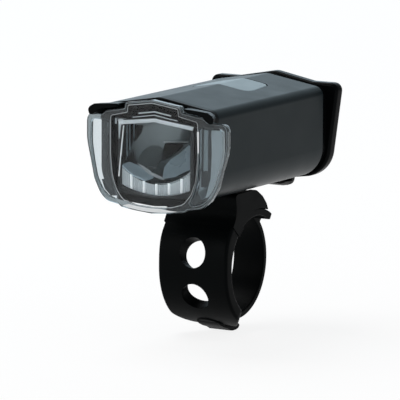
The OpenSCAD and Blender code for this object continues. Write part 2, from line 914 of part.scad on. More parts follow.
housing_shell();
front_bezel();
lens();
front_gasket();
reflector();
led_emitter();
led_board();
heat_sink();
main_board();
driver_inductor();
charge_chip();
tact_switch();
switch_plunger();
port_board();
usb_socket();
battery_cell();
chassis();
battery_leads();
led_leads();
power_button();
button_seal();
rear_gasket();
rear_cap();
rear_screws();
port_cover();
saddle();
liner_pad();
front_strap();
hook_strap();
pivot_screw();
pivot_insert();
friction_washer();
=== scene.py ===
"""Looks of a bicycle headlight on a rubber handlebar strap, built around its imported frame.

Lengths in the helpers are millimetres until a mesh is made; meshes are in metres.
"""

import json
import math

import bmesh
import bpy
from mathutils import Matrix, Vector


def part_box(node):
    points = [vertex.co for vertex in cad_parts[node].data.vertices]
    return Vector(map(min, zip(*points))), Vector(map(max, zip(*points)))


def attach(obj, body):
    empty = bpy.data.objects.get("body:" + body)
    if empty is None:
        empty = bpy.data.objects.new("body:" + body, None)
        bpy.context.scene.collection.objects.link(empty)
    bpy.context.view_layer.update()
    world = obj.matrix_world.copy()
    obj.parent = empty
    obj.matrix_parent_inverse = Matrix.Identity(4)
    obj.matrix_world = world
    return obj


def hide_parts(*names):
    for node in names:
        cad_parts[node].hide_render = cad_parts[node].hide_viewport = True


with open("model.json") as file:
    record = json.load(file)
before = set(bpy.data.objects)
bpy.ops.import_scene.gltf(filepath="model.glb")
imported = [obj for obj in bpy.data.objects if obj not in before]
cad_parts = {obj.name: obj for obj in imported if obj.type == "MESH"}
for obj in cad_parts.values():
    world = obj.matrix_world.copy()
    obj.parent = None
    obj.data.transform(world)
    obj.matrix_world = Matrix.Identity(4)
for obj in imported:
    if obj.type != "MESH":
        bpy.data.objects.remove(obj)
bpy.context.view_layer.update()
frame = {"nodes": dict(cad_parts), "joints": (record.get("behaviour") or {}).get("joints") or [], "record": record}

MM = 0.001
PHOTO_SIDE = 400
SENSOR = 36.0

# Camera, fitted to the photograph: degrees, millimetres, and pixels for the focal length
CAM_AZIMUTH = 30.38
CAM_ELEVATION = 8.96
CAM_ROLL = 0.25
CAM_DISTANCE = 1250.0
CAM_FOCAL_PX = 4910.9
CAM_RIGHT = -6.11
CAM_UP = 15.7


def node_box(name):
    """Lowest and highest corner of a CAD node, in millimetres."""
    low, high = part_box(name)
    return low / MM, high / MM


# Sizes read from the frame
shell_low, shell_high = node_box("housing_shell")
lens_low, lens_high = node_box("lens")
cover_low, cover_high = node_box("port_cover")
button_low, button_high = node_box("power_button")
bezel_low = node_box("front_bezel")[0]
strap_low = node_box("front_strap")[0]
cap_high = node_box("rear_cap")[1]
saddle_high = node_box("saddle")[1]
BAR_R = frame["record"]["mounts"][0]["dims"]["r_mm"]
PIVOT_Y = frame["joints"][0]["pos_m"][1] / MM
HINGE_Z = frame["joints"][2]["pos_m"][2] / MM
RIDGE = shell_high.z
BELLY = shell_low.z
HALF_W = shell_high.x
SHELL_FRONT = shell_low.y
SHELL_REAR = shell_high.y

# Section of the housing
EAVE = RIDGE - 4.8
EAVE_R = 2.5
RIDGE_R = 4.0
BELLY_R = 8.0
BELLY_RISE = 0.6
WALL = 1.6
SHELL_EDGE = 0.3


# Meshes

def add_object(name, data):
    thing = bpy.data.objects.new(name, data)
    bpy.context.scene.collection.objects.link(thing)
    return thing


def finish_mesh(name, mesh, look, node=None, body="head", slot=None, angle=40.0):
    """Links a mesh as a piece that rides on a body and may stand for a CAD node."""
    piece = add_object(name, mesh)
    mesh.materials.clear()
    mesh.materials.append(MATERIALS[look])
    shade(mesh, angle)
    weighted = piece.modifiers.new("weighted", "WEIGHTED_NORMAL")
    weighted.keep_sharp = True
    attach(piece, body)
    if node:
        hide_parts(node)
    slot or look


def lens_piece(name, mesh, look, angle=30.0):
    finish_mesh(name, mesh, look, slot="clear_lens", angle=angle)


def reflector_piece(name, mesh, look, angle=40.0):
    finish_mesh(name, mesh, look, slot="reflector", angle=angle)


def shade(mesh, angle):
    """Smooth shading that keeps edges sharper than angle."""
    mesh.polygons.foreach_set("use_smooth", [True] * len(mesh.polygons))
    edit = bmesh.new()
    edit.from_mesh(mesh)
    limit = math.radians(angle)
    for edge in edit.edges:
        if len(edge.link_faces) == 2 and edge.calc_face_angle(0.0) > limit:
            edge.smooth = False
    edit.to_mesh(mesh)
    edit.free()


def mesh_from(name, verts, faces):
    mesh = bpy.data.meshes.new(name)
    mesh.from_pydata([Vector(v) * MM for v in verts], [], faces)
    edit = bmesh.new()
    edit.from_mesh(mesh)
    bmesh.ops.remove_doubles(edit, verts=edit.verts, dist=0.002 * MM)
    bmesh.ops.recalc_face_normals(edit, faces=edit.faces)
    edit.to_mesh(mesh)
    edit.free()
    return mesh


def grid_faces(rows, cols, wrap_rows=False, wrap_cols=True):
    faces = []
    for i in range(rows if wrap_rows else rows - 1):
        for j in range(cols if wrap_cols else cols - 1):
            here, above, right = i * cols, (i + 1) % rows * cols, (j + 1) % cols
            faces.append((here + j, here + right, above + right, above + j))
    return faces


def loft(name, loops, closed=False, caps=True):
    """Joins equal-sized closed loops of points; closed joins the last to the first."""
    cols = len(loops[0])
    verts = [p for loop in loops for p in loop]
    faces = grid_faces(len(loops), cols, wrap_rows=closed)
    if caps and not closed:
        faces.append(tuple(range(cols))[::-1])
        faces.append(tuple(range(len(verts) - cols, len(verts))))
    return mesh_from(name, verts, faces)


def prism(name, outline, start, end, bevel=0.0, segments=3, axis="y"):
    """Extrudes an outline along an axis; its points hold the other two axes, in the order x, y, z."""
    at = "xyz".index(axis)
    mesh = loft(name, [[(*point[:at], place, *point[at:]) for point in outline] for place in (start, end)])
    if bevel:
        soften(mesh, bevel, segments)
    return mesh


def soften(mesh, width, segments=3, angle=35.0):
    """Rounds every edge sharper than angle."""
    modify(mesh, "BEVEL", width=width * MM, segments=segments, limit_method="ANGLE",
           angle_limit=math.radians(angle), use_clamp_overlap=True)


def modify(mesh, kind, **settings):
    """Applies one modifier to a bare mesh."""
    holder = add_object("holder", mesh)
    modifier = holder.modifiers.new("m", kind)
    for key, value in settings.items():
        setattr(modifier, key, value)
    bpy.context.view_layer.update()
    result = bpy.data.meshes.new_from_object(holder.evaluated_get(bpy.context.evaluated_depsgraph_get()))
    bpy.data.objects.remove(holder)
    edit = bmesh.new()
    edit.from_mesh(result)
    edit.to_mesh(mesh)
    edit.free()
    bpy.data.meshes.remove(result)


def combine(mesh, tool_mesh, operation):
    """Boolean of two meshes, kept in the first."""
    tool = add_object("tool", tool_mesh)
    modify(mesh, "BOOLEAN", object=tool, operation=operation, solver="EXACT")
    bpy.data.objects.remove(tool)


def cut(mesh, tool_mesh):
    combine(mesh, tool_mesh, "DIFFERENCE")


def join(mesh, tool_mesh):
    combine(mesh, tool_mesh, "UNION")


def common(mesh, tool_mesh):
    combine(mesh, tool_mesh, "INTERSECT")


# Outlines, as (across, up) points in millimetres

def compass(count):
    """Directions (across, up) in equal steps, clockwise from straight up."""
    angles = (2 * math.pi * k / count for k in range(count))
    return [(math.sin(angle), math.cos(angle)) for angle in angles]


def hull_loop(circles, inset, count):
    """Outline round a set of circles (x, z, r), stepped by the direction of its normal."""
    loop = []
    for u in compass(count):
        x, z, r = max(circles, key=lambda c: c[0] * u[0] + c[1] * u[1] + c[2])
        loop.append((x + (r - inset) * u[0], z + (r - inset) * u[1]))
    return loop


def ray_reach(loop, centre, u):
    """Distance from a centre to the far side of a convex loop along the direction u."""
    best = 0.0
    for (ax, az), (bx, bz) in zip(loop, loop[1:] + loop[:1]):
        ex, ez = bx - ax, bz - az
        cross = u[0] * ez - u[1] * ex
        if abs(cross) < 1e-9:
            continue
        px, pz = ax - centre[0], az - centre[1]
        t = (px * ez - pz * ex) / cross
        s = (px * u[1] - pz * u[0]) / cross
        if t > best and -1e-6 <= s <= 1 + 1e-6:
            best = t
    return best


def body_loop(inset=0.0, count=180):
    """Outline of the housing's section."""
    corner_z = BELLY + BELLY_RISE + BELLY_R
    circles = [(0, RIDGE - RIDGE_R, RIDGE_R), (0, BELLY + BELLY_R, BELLY_R)]
    for side in (-1, 1):
        circles.append((side * (HALF_W - EAVE_R), EAVE, EAVE_R))
        circles.append((side * (HALF_W - BELLY_R), corner_z, BELLY_R))
    return hull_loop(circles, inset, count)


def sections(parts):
    """Loops for a loft along Y, from outlines and their places."""
    return [[(x, y, z) for x, z in outline] for outline, y in parts]


def wall_loft(name, profile):
    """A tube with the housing's section, whose wall is a closed list of (y, inset)."""
    return loft(name, sections((body_loop(inset), y) for y, inset in profile), closed=True)


def circle(radius, count=48, centre=(0.0, 0.0)):
    angles = (2 * math.pi * k / count for k in range(count))
    return [(centre[0] + radius * math.cos(a), centre[1] + radius * math.sin(a)) for a in angles]


def rounded_rectangle(width, length, radius, steps=8):
    points = []
    for quarter, (sx, sy) in enumerate(((1, 1), (-1, 1), (-1, -1), (1, -1))):
        for k in range(steps + 1):
            angle = math.pi / 2 * (quarter + k / steps)
            points.append((sx * (width / 2 - radius) + radius * math.cos(angle),
                           sy * (length / 2 - radius) + radius * math.sin(angle)))
    return points


def fillet(points, radius, steps=6):
    """Rounds each corner of a closed outline; radius is one value or one for each corner."""
    rounded = []
    count = len(points)
    for i, corner in enumerate(points):
        size = radius[i] if isinstance(radius, (list, tuple)) else radius
        if not size:
            rounded.append(tuple(corner))
            continue
        here = Vector(corner)
        before = Vector(points[i - 1]) - here
        after = Vector(points[(i + 1) % count]) - here
        turn = math.pi - before.angle(after)
        reach = min(size * math.tan(turn / 2), before.length * 0.48, after.length * 0.48)
        start = here + before.normalized() * reach
        end = here + after.normalized() * reach
        for k in range(steps + 1):
            t = k / steps
            rounded.append(tuple(start * (1 - t) ** 2 + here * 2 * t * (1 - t) + end * t * t))
    return rounded


def mirrored(half):
    """Closed outline from its half with x > 0, listed from one end to the other."""
    return list(half) + [(-x, z) for x, z in reversed(half) if x > 1e-6]


# Materials

# Colour, the share by which it varies, lowest and highest roughness, depth of the relief, specular level,
# metal, relief's features per metre and tint of the gloss
LOOKS = {
    "housing": ((0.0080, 0.0135, 0.0155), 0.08, (0.32, 0.38), 0.001, 0.09, 0.0, 2500, (0.72, 0.93, 1.0)),
    "black_gloss": ((0.0025, 0.0032, 0.0034), 0.2, (0.20, 0.28), 0.002, 0.03),
    "bezel_black": ((0.0025, 0.0035, 0.0040), 0.2, (0.25, 0.32), 0.002, 0.06),
    "seal_rubber": ((0.004, 0.004, 0.004), 0.2, (0.6, 0.75), 0.008, 0.1),
    "mount_rubber": ((0.0016, 0.0023, 0.0024), 0.2, (0.42, 0.52), 0.010, 0.03, 0.0, 1800),
    "cover_rubber": ((0.004, 0.0045, 0.0045), 0.2, (0.4, 0.5), 0.008, 0.14, 0.0, 1800),
    "button_grey": ((0.22, 0.285, 0.315), 0.06, (0.38, 0.46), 0.003, 0.3, 0.0, 2500),
    "mirror": ((0.23, 0.265, 0.275), 0.08, (0.10, 0.16), 0.001, 0.5, 1.0),
    # These looks paint light: dark, black and blue reflections and bright highlight lines on the bowl, highlights
    # on the band's ribs and the slanted line, and glints behind the lens; the grey one is also the fluted band's
    # own colour.
    "painted_dark_reflection": ((0.095, 0.115, 0.12), 0.15, (0.2, 0.28), 0.001, 0.5, 0.6),
    "painted_black_reflection": ((0.006, 0.008, 0.008), 0.2, (0.2, 0.28), 0.001, 0.1),
    "painted_blue_reflection": ((0.25, 0.32, 0.36), 0.1, (0.25, 0.32), 0.001, 0.5, 0.3),
    "band_grey_and_painted_glint": ((0.40, 0.44, 0.46), 0.06, (0.3, 0.36), 0.002, 0.5, 0.2),
    "bowl_painted_highlight": ((0.66, 0.70, 0.72), 0.05, (0.18, 0.24), 0.001, 0.5, 0.6),
    "rib_painted_highlight": ((0.92, 0.95, 0.96), 0.03, (0.15, 0.2), 0.001),
    "gable_grey": ((0.52, 0.56, 0.58), 0.05, (0.3, 0.36), 0.001),
    "frame_dark": ((0.012, 0.015, 0.016), 0.2, (0.3, 0.36), 0.002, 0.2),
    "steel": ((0.42, 0.43, 0.44), 0.14, (0.22, 0.34), 0.004, 0.5, 1.0),
    "brass": ((0.57, 0.405, 0.16), 0.1, (0.25, 0.35), 0.004, 0.5, 1.0),
    "aluminium": ((0.60, 0.61, 0.62), 0.1, (0.3, 0.42), 0.004, 0.5, 1.0),
    "circuit_board": ((0.012, 0.085, 0.038), 0.2, (0.3, 0.4)),
    "component_black": ((0.014, 0.014, 0.014), 0.3, (0.4, 0.5)),
    "inner_plastic": ((0.025, 0.025, 0.027), 0.2, (0.45, 0.55)),
    "plunger": ((0.60, 0.60, 0.56), 0.08, (0.35, 0.45)),
    "cell_foil": ((0.47, 0.49, 0.52), 0.1, (0.3, 0.45), 0.004, 0.5, 0.9),
    "emitter": ((0.80, 0.65, 0.16), 0.07, (0.3, 0.4)),
    "lead_red": ((0.40, 0.015, 0.015), 0.15, (0.4, 0.5)),
    "lead_white": ((0.65, 0.65, 0.63), 0.08, (0.4, 0.5)),
}
# Colour, share of the light let through, index of refraction, lowest and highest roughness
CLEAR_LOOKS = {
    "clear": ((0.95, 0.975, 0.985), 1.0, 1.22, (0.0, 0.02)),
    "clear_panel": ((0.70, 0.76, 0.79), 0.94, 1.22, (0.04, 0.08)),
    "clear_rim": ((0.26, 0.31, 0.33), 0.93, 1.45, (0.05, 0.10)),
    "clear_seat": ((0.16, 0.19, 0.20), 0.96, 1.2, (0.05, 0.10)),
    # These three looks paint light: a hazy reflection of the pale surroundings behind the +X wing, a white glow
    # and glint in the lens, and whitened highlights on its moulding lines.
    "clear_painted_reflection": ((0.72, 0.76, 0.77), 0.35, 1.22, (0.06, 0.12)),
    "clear_painted_glow": ((0.97, 0.98, 0.98), 0.12, 1.45, (0.05, 0.10)),
    "clear_painted_edge_highlight": ((0.90, 0.94, 0.96), 0.45, 1.45, (0.05, 0.10)),
}


def new_material(name):
    material = bpy.data.materials.new(name)
    material.use_nodes = True
    return material, material.node_tree, material.node_tree.nodes["Principled BSDF"]


def noise(tree, scale, detail=4.0):
    """Object-space noise with a scale in features per metre."""
    place = tree.nodes.new("ShaderNodeTexCoord")
    texture = tree.nodes.new("ShaderNodeTexNoise")
    texture.inputs["Scale"].default_value = scale
    texture.inputs["Detail"].default_value = detail
    tree.links.new(place.outputs["Object"], texture.inputs["Vector"])
    return texture.outputs["Fac"]


def ramp(tree, source, low, high):
    """Maps the middle of a 0 to 1 value between two colours or two values."""
    node = tree.nodes.new("ShaderNodeValToRGB")
    for element, position, value in zip(node.color_ramp.elements, (0.3, 0.7), (low, high)):
        element.position = position
        element.color = (*value, 1) if isinstance(value, tuple) else (value, value, value, 1)
    tree.links.new(source, node.inputs["Fac"])
    return node.outputs["Color"]


def bump(tree, shader, source, distance):
    node = tree.nodes.new("ShaderNodeBump")
    node.inputs["Distance"].default_value = distance * MM
    node.inputs["Strength"].default_value = 1.0
    tree.links.new(source, node.inputs["Height"])
    tree.links.new(node.outputs["Normal"], shader.inputs["Normal"])


def plastic(name, colour, spread, rough, relief=0.004, level=0.5, metal=0.0, grain=900, tint=(1, 1, 1)):
    """Moulded or painted surface: colour and gloss vary by a small share, over a fine relief."""
    material, tree, shader = new_material(name)
    dark, light = (tuple(c * share for c in colour) for share in (1 - spread, 1 + spread))
    tree.links.new(ramp(tree, noise(tree, 60), dark, light), shader.inputs["Base Color"])
    tree.links.new(ramp(tree, noise(tree, 140, 6), *rough), shader.inputs["Roughness"])
    bump(tree, shader, noise(tree, grain, 3), relief)
    shader.inputs["Specular IOR Level"].default_value = level
    shader.inputs["Specular Tint"].default_value = (*tint, 1)
    shader.inputs["Metallic"].default_value = metal
    return material


def clear_plastic(name, colour, transmission, ior, rough):
    """Polycarbonate that lets a share of the light through."""
    material, tree, shader = new_material(name)
    shader.inputs["Base Color"].default_value = (*colour, 1)
    shader.inputs["Transmission Weight"].default_value = transmission
    shader.inputs["IOR"].default_value = ior
    tree.links.new(ramp(tree, noise(tree, 90, 5), *rough), shader.inputs["Roughness"])
    bump(tree, shader, noise(tree, 300, 2), 0.002)
    return material


MATERIALS = {look: plastic(look, *values) for look, values in LOOKS.items()}
MATERIALS.update((look, clear_plastic(look, *values)) for look, values in CLEAR_LOOKS.items())


# Housing and its fittings

BUTTON_GAP = 0.2
BUTTON_TAPER = 1.5
BUTTON_CORNER_R = 3.0
BUTTON_T = 0.9
STEM_R = 1.5
SWIVEL_HOLE_R = 2.0


def button_points(gap=0.0):
    """Outline of the button patch from above: wide in front, narrower at the rear."""
    front, rear = button_low.y - gap, button_high.y + gap
    half_front, half_rear = button_high.x + gap, button_high.x - BUTTON_TAPER + gap
    return fillet(mirrored([(half_front, front), (half_rear, rear)]), BUTTON_CORNER_R)


def make_housing():
    near = SHELL_EDGE * 0.3
    mesh = wall_loft("housing_body", [
        (SHELL_FRONT + SHELL_EDGE, 0), (SHELL_FRONT + near, near), (SHELL_FRONT, SHELL_EDGE),
        (SHELL_FRONT, WALL), (SHELL_REAR, WALL),
        (SHELL_REAR, SHELL_EDGE), (SHELL_REAR - near, near), (SHELL_REAR - SHELL_EDGE, 0),
    ])
    cut(mesh, prism("window", button_points(BUTTON_GAP), EAVE, RIDGE + 3, axis="z"))
    hole = circle(SWIVEL_HOLE_R, centre=(0, PIVOT_Y))
    cut(mesh, prism("hole", hole, BELLY - 1, BELLY + WALL + 1, axis="z"))
    soften(mesh, 0.18, 2, 50)
    finish_mesh("housing_body", mesh, "housing", "housing_shell")


def make_button():
    middle = (button_low.y + button_high.y) / 2
    length = button_high.y - button_low.y
    mesh = wall_loft("button_cap", [
        (middle - length, 0), (middle - length, BUTTON_T), (middle + length, BUTTON_T), (middle + length, 0)
    ])
    common(mesh, prism("patch", button_points(), EAVE, RIDGE + 3, axis="z"))
    soften(mesh, 0.22, 3, 50)
    stem = circle(STEM_R, 40, (0, middle))
    join(mesh, prism("stem", stem, button_low.z, RIDGE - BUTTON_T / 2, axis="z"))
    finish_mesh("button_cap", mesh, "button_grey", "power_button", "button")


# Bezel

SIDES = ((-1, "right"), (1, "left"))
PLATE_FRONT = SHELL_FRONT - 1.4
OPENING_HALF = 11.05
OPENING_TOP = 39.55
BEZEL_CENTRE = (0.0, 33.0)
LIP_DEPTH = 4.0
LIP_OUTER = 1.75
LIP_INNER = 2.95
COLLAR = [(11.1, 39.4), (13.2, 39.4), (13.2, 26.5), (12.6, 24.6), (11.1, 23.2)]


def sampled(reach, directions, centre=BEZEL_CENTRE):
    """Points of an outline round a centre; reach gives its distance along a direction."""
    distances = [reach(u) for u in directions]
    return [(centre[0] + r * u[0], centre[1] + r * u[1]) for r, u in zip(distances, directions)]


def body_reach(inset):
    loop = body_loop(inset, 240)
    return lambda u: ray_reach(loop, BEZEL_CENTRE, u)


def make_bezel():
    body = body_reach(LIP_INNER)

    def opening_reach(u):
        top = (OPENING_TOP - BEZEL_CENTRE[1]) / max(u[1], 1e-6)
        return min(body(u), top, OPENING_HALF / max(abs(u[0]), 1e-6))

    rise = math.atan2(OPENING_TOP - BEZEL_CENTRE[1], OPENING_HALF)
    angles = sorted([2 * math.pi * k / 200 for k in range(200)] + [rise, math.pi - rise])
    directions = [(math.cos(angle), math.sin(angle)) for angle in angles]
    lip_rear = SHELL_FRONT + LIP_DEPTH
    parts = [(sampled(body_reach(inset), directions), y) for y, inset in (
        (PLATE_FRONT, 0.25), (PLATE_FRONT + 0.08, 0.07), (PLATE_FRONT + 0.25, 0), (SHELL_FRONT, 0),
        (SHELL_FRONT, LIP_OUTER), (lip_rear, LIP_OUTER), (lip_rear, LIP_INNER))]
    opening = sampled(opening_reach, directions)
    parts += [(opening, SHELL_FRONT), (opening, PLATE_FRONT)]
    mesh = loft("front_bezel_dark", sections(parts), closed=True)
    finish_mesh("front_bezel_dark", mesh, "bezel_black", "front_bezel", slot="black_gloss")
    for side, name in SIDES:
        make_brow(side, "brow_" + name)
    for side, name in SIDES:
        make_collar(side, "collar_" + name)


BROW = [(9.0, 44.25), (11.5, 44.15), (14.0, 43.95), (16.3, 43.75), (17.6, 43.0), (18.1, 42.2), (17.75, 41.05),
        (17.0, 40.9), (15.9, 41.6), (15.0, 42.45), (13.6, 42.85), (10.6, 43.15)]
BROW_RADII = [0.25, 3, 2, 1.2, 0.8, 0.8, 0.4, 0.4, 0.8, 0.8, 1.5, 0.5]
BROW_START = 8.5
BROW_W = 9.0
# Place along Y, share of the front's width and drop of the outer end
BROW_SECTIONS = ((bezel_low.y, 1.0, 0.0), (bezel_low.y + 2.6, 0.965, 0.1), (PLATE_FRONT - 0.6, 0.89, 0.4),
                 (SHELL_FRONT, 0.83, 0.8))


def make_brow(side, name):
    """Strip along the roof line with a hooked corner, drawn in towards the rear."""
    front = fillet(BROW, BROW_RADII)
    mesh = loft(name, [[(side * x * share, y, z - drop * (x - BROW_START) / BROW_W) for x, z in front]
                       for y, share, drop in BROW_SECTIONS])
    soften(mesh, 0.35, 3, 50)
    finish_mesh(name, mesh, "black_gloss", angle=50)


def make_collar(side, name):
    """Side wall that stands off the plate beside the reflector."""
    mesh = prism(name, [(side * x, z) for x, z in COLLAR], lens_low.y, PLATE_FRONT + 0.4)
    common(mesh, bend_solid(LENS_T + 0.2, SHELL_FRONT))
    soften(mesh, 0.2, 2, 50)
    finish_mesh(name, mesh, "bezel_black", slot="black_gloss")


# Lens

# Right half of the lens's outline, as shares of its half width and its height
LENS_SHARES = [
    (0, 0), (0.25, 0.014), (0.45, 0.032), (0.49, 0.053), (0.67, 0.07), (0.78, 0.134),
    (0.877, 0.257), (0.93, 0.41), (0.985, 0.553), (1, 0.62), (1, 0.78), (0.965, 0.82),
    (0.76, 0.83), (0.7, 0.866), (0.404, 0.908), (0.394, 0.958), (0, 1)
]
LENS_RADII = [0, 8, 1.2, 1.2, 4, 5, 6, 8, 8, 3, 2.2, 1.2, 0.8, 0.8, 0.6, 0.8, 2]
LENS_T = 1.4
LENS_BEND_R = 90.0
# Outer strip of the +X wing, where a hazy sheet paints the reflection of the pale surroundings
WING_SHEEN = [(15.4, 39.0), (18.0, 39.0), (18.5, 38.3), (18.5, 35.0), (18.3, 33.0), (17.4, 29.0),
              (16.4, 25.2), (15.0, 22.6), (14.0, 21.8), (15.3, 27.0), (15.6, 33.0)]
STEP_GAP = 0.03
WING_STEP = 0.4
LENS_BACK = SHELL_FRONT + 8
SEAL_T = 0.3
DOME = [(0, 18.8), (5.5, 19.1), (8.8, 20.1), (10.9, 22.6), (12.1, 26.2), (12.6, 31), (12.6, 40.9),
        (7.4, 42.1), (7.2, 43.9), (0, 44.95)]
DOME_RADII = [0, 6, 3, 5, 5, 6, 1.0, 0.5, 0.6, 2]
WING = [(13.0, 39.5), (18.2, 39.5), (18.9, 38.8), (19.0, 35.2), (18.95, 33.2), (18.2, 29.0), (17.2, 24.9),
        (15.3, 21.9), (13.6, 20.6), (11.2, 19.9), (10.3, 20.5), (11.5, 22.6), (12.6, 26.2), (13.0, 31)]
WING_RADII = [0.6, 0.8, 0.8, 3, 8, 8, 6, 3, 2, 0.6, 0.5, 5, 5, 6]
# Side view of the skirts: share of their length and of the lens's height
SKIRT = [(-0.3, 0.82), (0.3, 0.82), (0.85, 0.764), (1, 0.715), (0.55, 0.58), (0.1, 0.36), (-0.3, 0.36)]
SKIRT_RADII = [0, 1.0, 1.2, 1.5, 4, 4, 0]
SKIRT_L = 4.4
SKIRT_T = 1.2
SKIRT_GAP = 0.2
FOOT_START = -8.6
FOOT_END = 7.0
GLINT = [(12.4, 38.6), (12.95, 38.6), (12.95, 33.2), (12.6, 33.2)]


def symmetric(half, radii):
    """Rounded outline from its half, whose ends lie on the middle line."""
    return fillet(mirrored(half), radii + radii[-2:0:-1])


def lens_outline():
    tall = lens_high.z - lens_low.z
    return symmetric([(s * lens_high.x, lens_low.z + t * tall) for s, t in LENS_SHARES], LENS_RADII)


def inset_outline(points, distance):
    """Moves each point of a smooth closed outline inwards along its normal."""
    area = sum(ax * bz - bx * az for (ax, az), (bx, bz) in zip(points, points[1:] + points[:1]))
    turn = 1 if area > 0 else -1
    moved = []
    for i, (x, z) in enumerate(points):
        ax, az = points[i - 3]
        bx, bz = points[(i + 3) % len(points)]
        dx, dz = bx - ax, bz - az
        size = math.hypot(dx, dz) or 1.0
        moved.append((x - turn * dz / size * distance, z + turn * dx / size * distance))
    return moved


def bend_y(x, depth=0.0):
    """Place along Y of the lens surface at a distance depth behind its front."""
    radius = LENS_BEND_R - depth
    return lens_low.y + LENS_BEND_R - math.sqrt(radius * radius - x * x)


def bend_solid(depth, back):
    """Everything behind a lens surface, as a tool for booleans."""
    steps = 80
    wide = lens_high.x + 1.0
    front = [(-wide + 2 * wide * k / steps) for k in range(steps + 1)]
    outline = [(x, bend_y(x, depth)) for x in front] + [(wide, back), (-wide, back)]
    return prism("behind", outline, lens_low.z - 2, lens_high.z + 2, axis="z")


def bent_plate(name, outline, front_depth, back_depth):
    """A plate of the given outline between two lens surfaces."""
    plate = prism(name, outline, lens_low.y - 1, LENS_BACK)
    common(plate, bend_solid(front_depth, LENS_BACK + 1))
    cut(plate, bend_solid(back_depth, LENS_BACK + 2))
    return plate


def make_lens():
    """Clear dome, recessed wing panels and the rim that joins them."""
    dome_shape = symmetric(DOME, DOME_RADII)
    dome = bent_plate("lens_dome", dome_shape, 0.0, LENS_T)
    soften(dome, 0.22, 3, 50)
    finish_mesh("lens_dome", dome, "clear", "lens", slot="clear_lens", angle=30)
    wings = {name: fillet([(side * x, z) for x, z in WING], WING_RADII) for side, name in SIDES}
    for name, shape in wings.items():
        wing = bent_plate("lens_wing_" + name, shape, WING_STEP, LENS_T)
        soften(wing, 0.12, 2, 50)
        lens_piece("lens_wing_" + name, wing, "clear_panel")
    # Painted reflection of the pale surroundings, as a hazy sheet behind the +X wing
    sheen = bent_plate("wing_sheen", fillet(WING_SHEEN, 0.5), LENS_T + 0.02, LENS_T + 0.3)
    lens_piece("wing_sheen", sheen, "clear_painted_reflection")
    outline = lens_outline()
    rim = bent_plate("lens_rim", outline, 0.0, LENS_T)
    for shape in (*wings.values(), dome_shape):
        cut(rim, prism("hollow", inset_outline(shape, -STEP_GAP), lens_low.y - 2, LENS_BACK))
    join(rim, skirts(outline))
    soften(rim, 0.22, 3, 45)
    lens_piece("lens_rim", rim, "clear_rim")
    seat = seat_ring("lens_seat", lambda x: bend_y(x, LENS_T + STEP_GAP), PLATE_FRONT - SEAL_T)
    lens_piece("lens_seat", seat, "clear_seat")
    make_painted_lens_glow()
    edge_line("lens_dome_edge", inset_outline(dome_shape, 0.05), 0.09, 0.04)
    edge_line("lens_rim_edge", inset_outline(outline, 0.3), 0.10, 0.02)
    for name, shape in wings.items():
        edge_line("wing_edge_" + name, inset_outline(shape, -0.2), 0.09, 0.02)


def edge_line(name, outline, radius, depth):
    """Rounded moulding line along an outline on the lens's front, whitened to paint the highlight that it catches.
    """
    section = circle(radius, 8)
    loops = [[] for _ in section]
    for x, z in outline:
        away = Vector((x - BEZEL_CENTRE[0], z - BEZEL_CENTRE[1])).normalized()
        y = bend_y(x, depth + radius)
        for loop, (across, along) in zip(loops, section):
            loop.append((x + away.x * across, y + along, z + away.y * across))
    lens_piece(name, loft(name, loops, closed=True), "clear_painted_edge_highlight", 60)


def make_painted_lens_glow():
    """Painted glow: white strips on the lens's thick lower edge and its step at the window, where light runs
    through, and a painted glint at the dome's side.
    """
    steps = 40
    low_line, high_line = [], []
    for k in range(steps + 1):
        x = FOOT_START + (FOOT_END - FOOT_START) * k / steps
        foot, head = lens_low.z + 0.35 + 0.012 * x * x, DOME[0][1] - 0.2 + 0.011 * x * x
        taper = min(1.0, 0.08 + (FOOT_END - x) / 5, 0.08 + (x - FOOT_START) / 2)
        low_line.append((x, foot))
        high_line.append((x, foot + (head - foot) * taper))
    for name, shape in (("lens_foot", low_line + high_line[::-1]), ("lens_glint", fillet(GLINT, 0.15))):
        lens_piece(name, bent_plate(name, shape, -0.04, 0.0), "clear_painted_glow", 40)


def skirts(outline):
    """Side skirts: the rim folds back, deepest near the top."""
    tall = lens_high.z - lens_low.z
    skirt = prism("skirt", outline, lens_low.y, SHELL_FRONT + 4)
    cut(skirt, prism("inside", inset_outline(outline, SKIRT_T), lens_low.y - 1, SHELL_FRONT + 6))
    common(skirt, bend_solid(LENS_T / 2, LENS_BACK + 2))
    start = PLATE_FRONT - 2
    side = fillet([(start + s * SKIRT_L, lens_low.z + t * tall) for s, t in SKIRT], SKIRT_RADII)
    near, wide = HALF_W + SKIRT_GAP, lens_high.x + 2
    wings = prism("wing_left", side, near, wide, axis="x")
    join(wings, prism("wing_right", side, -wide, -near, axis="x"))
    common(skirt, wings)
    return skirt


def seat_ring(name, front, back):
    """Ring near the edge of the housing, behind the lens; front gives its place along Y for an x."""
    body, low_body = body_loop(0.1, 240), body_loop(-0.4, 240)
    cover = inset_outline(lens_outline(), 0.3)

    def reach(u):
        edge = low_body if u[1] < -0.75 else body
        return min(ray_reach(edge, BEZEL_CENTRE, u), ray_reach(cover, BEZEL_CENTRE, u))

    outer = sampled(reach, compass(220))
    inner = inset_outline(outer, 1.6)
    front_outer, front_inner = ([(x, front(x), z) for x, z in outline] for outline in (outer, inner))
    behind = sections(((outer, back), (inner, back)))
    return loft(name, [front_outer, *behind, front_inner], closed=True)


def make_front_gasket():
    ring = seat_ring("front_seal", lambda x: PLATE_FRONT - SEAL_T, PLATE_FRONT)
    finish_mesh("front_seal", ring, "seal_rubber", "front_gasket")


# Reflector

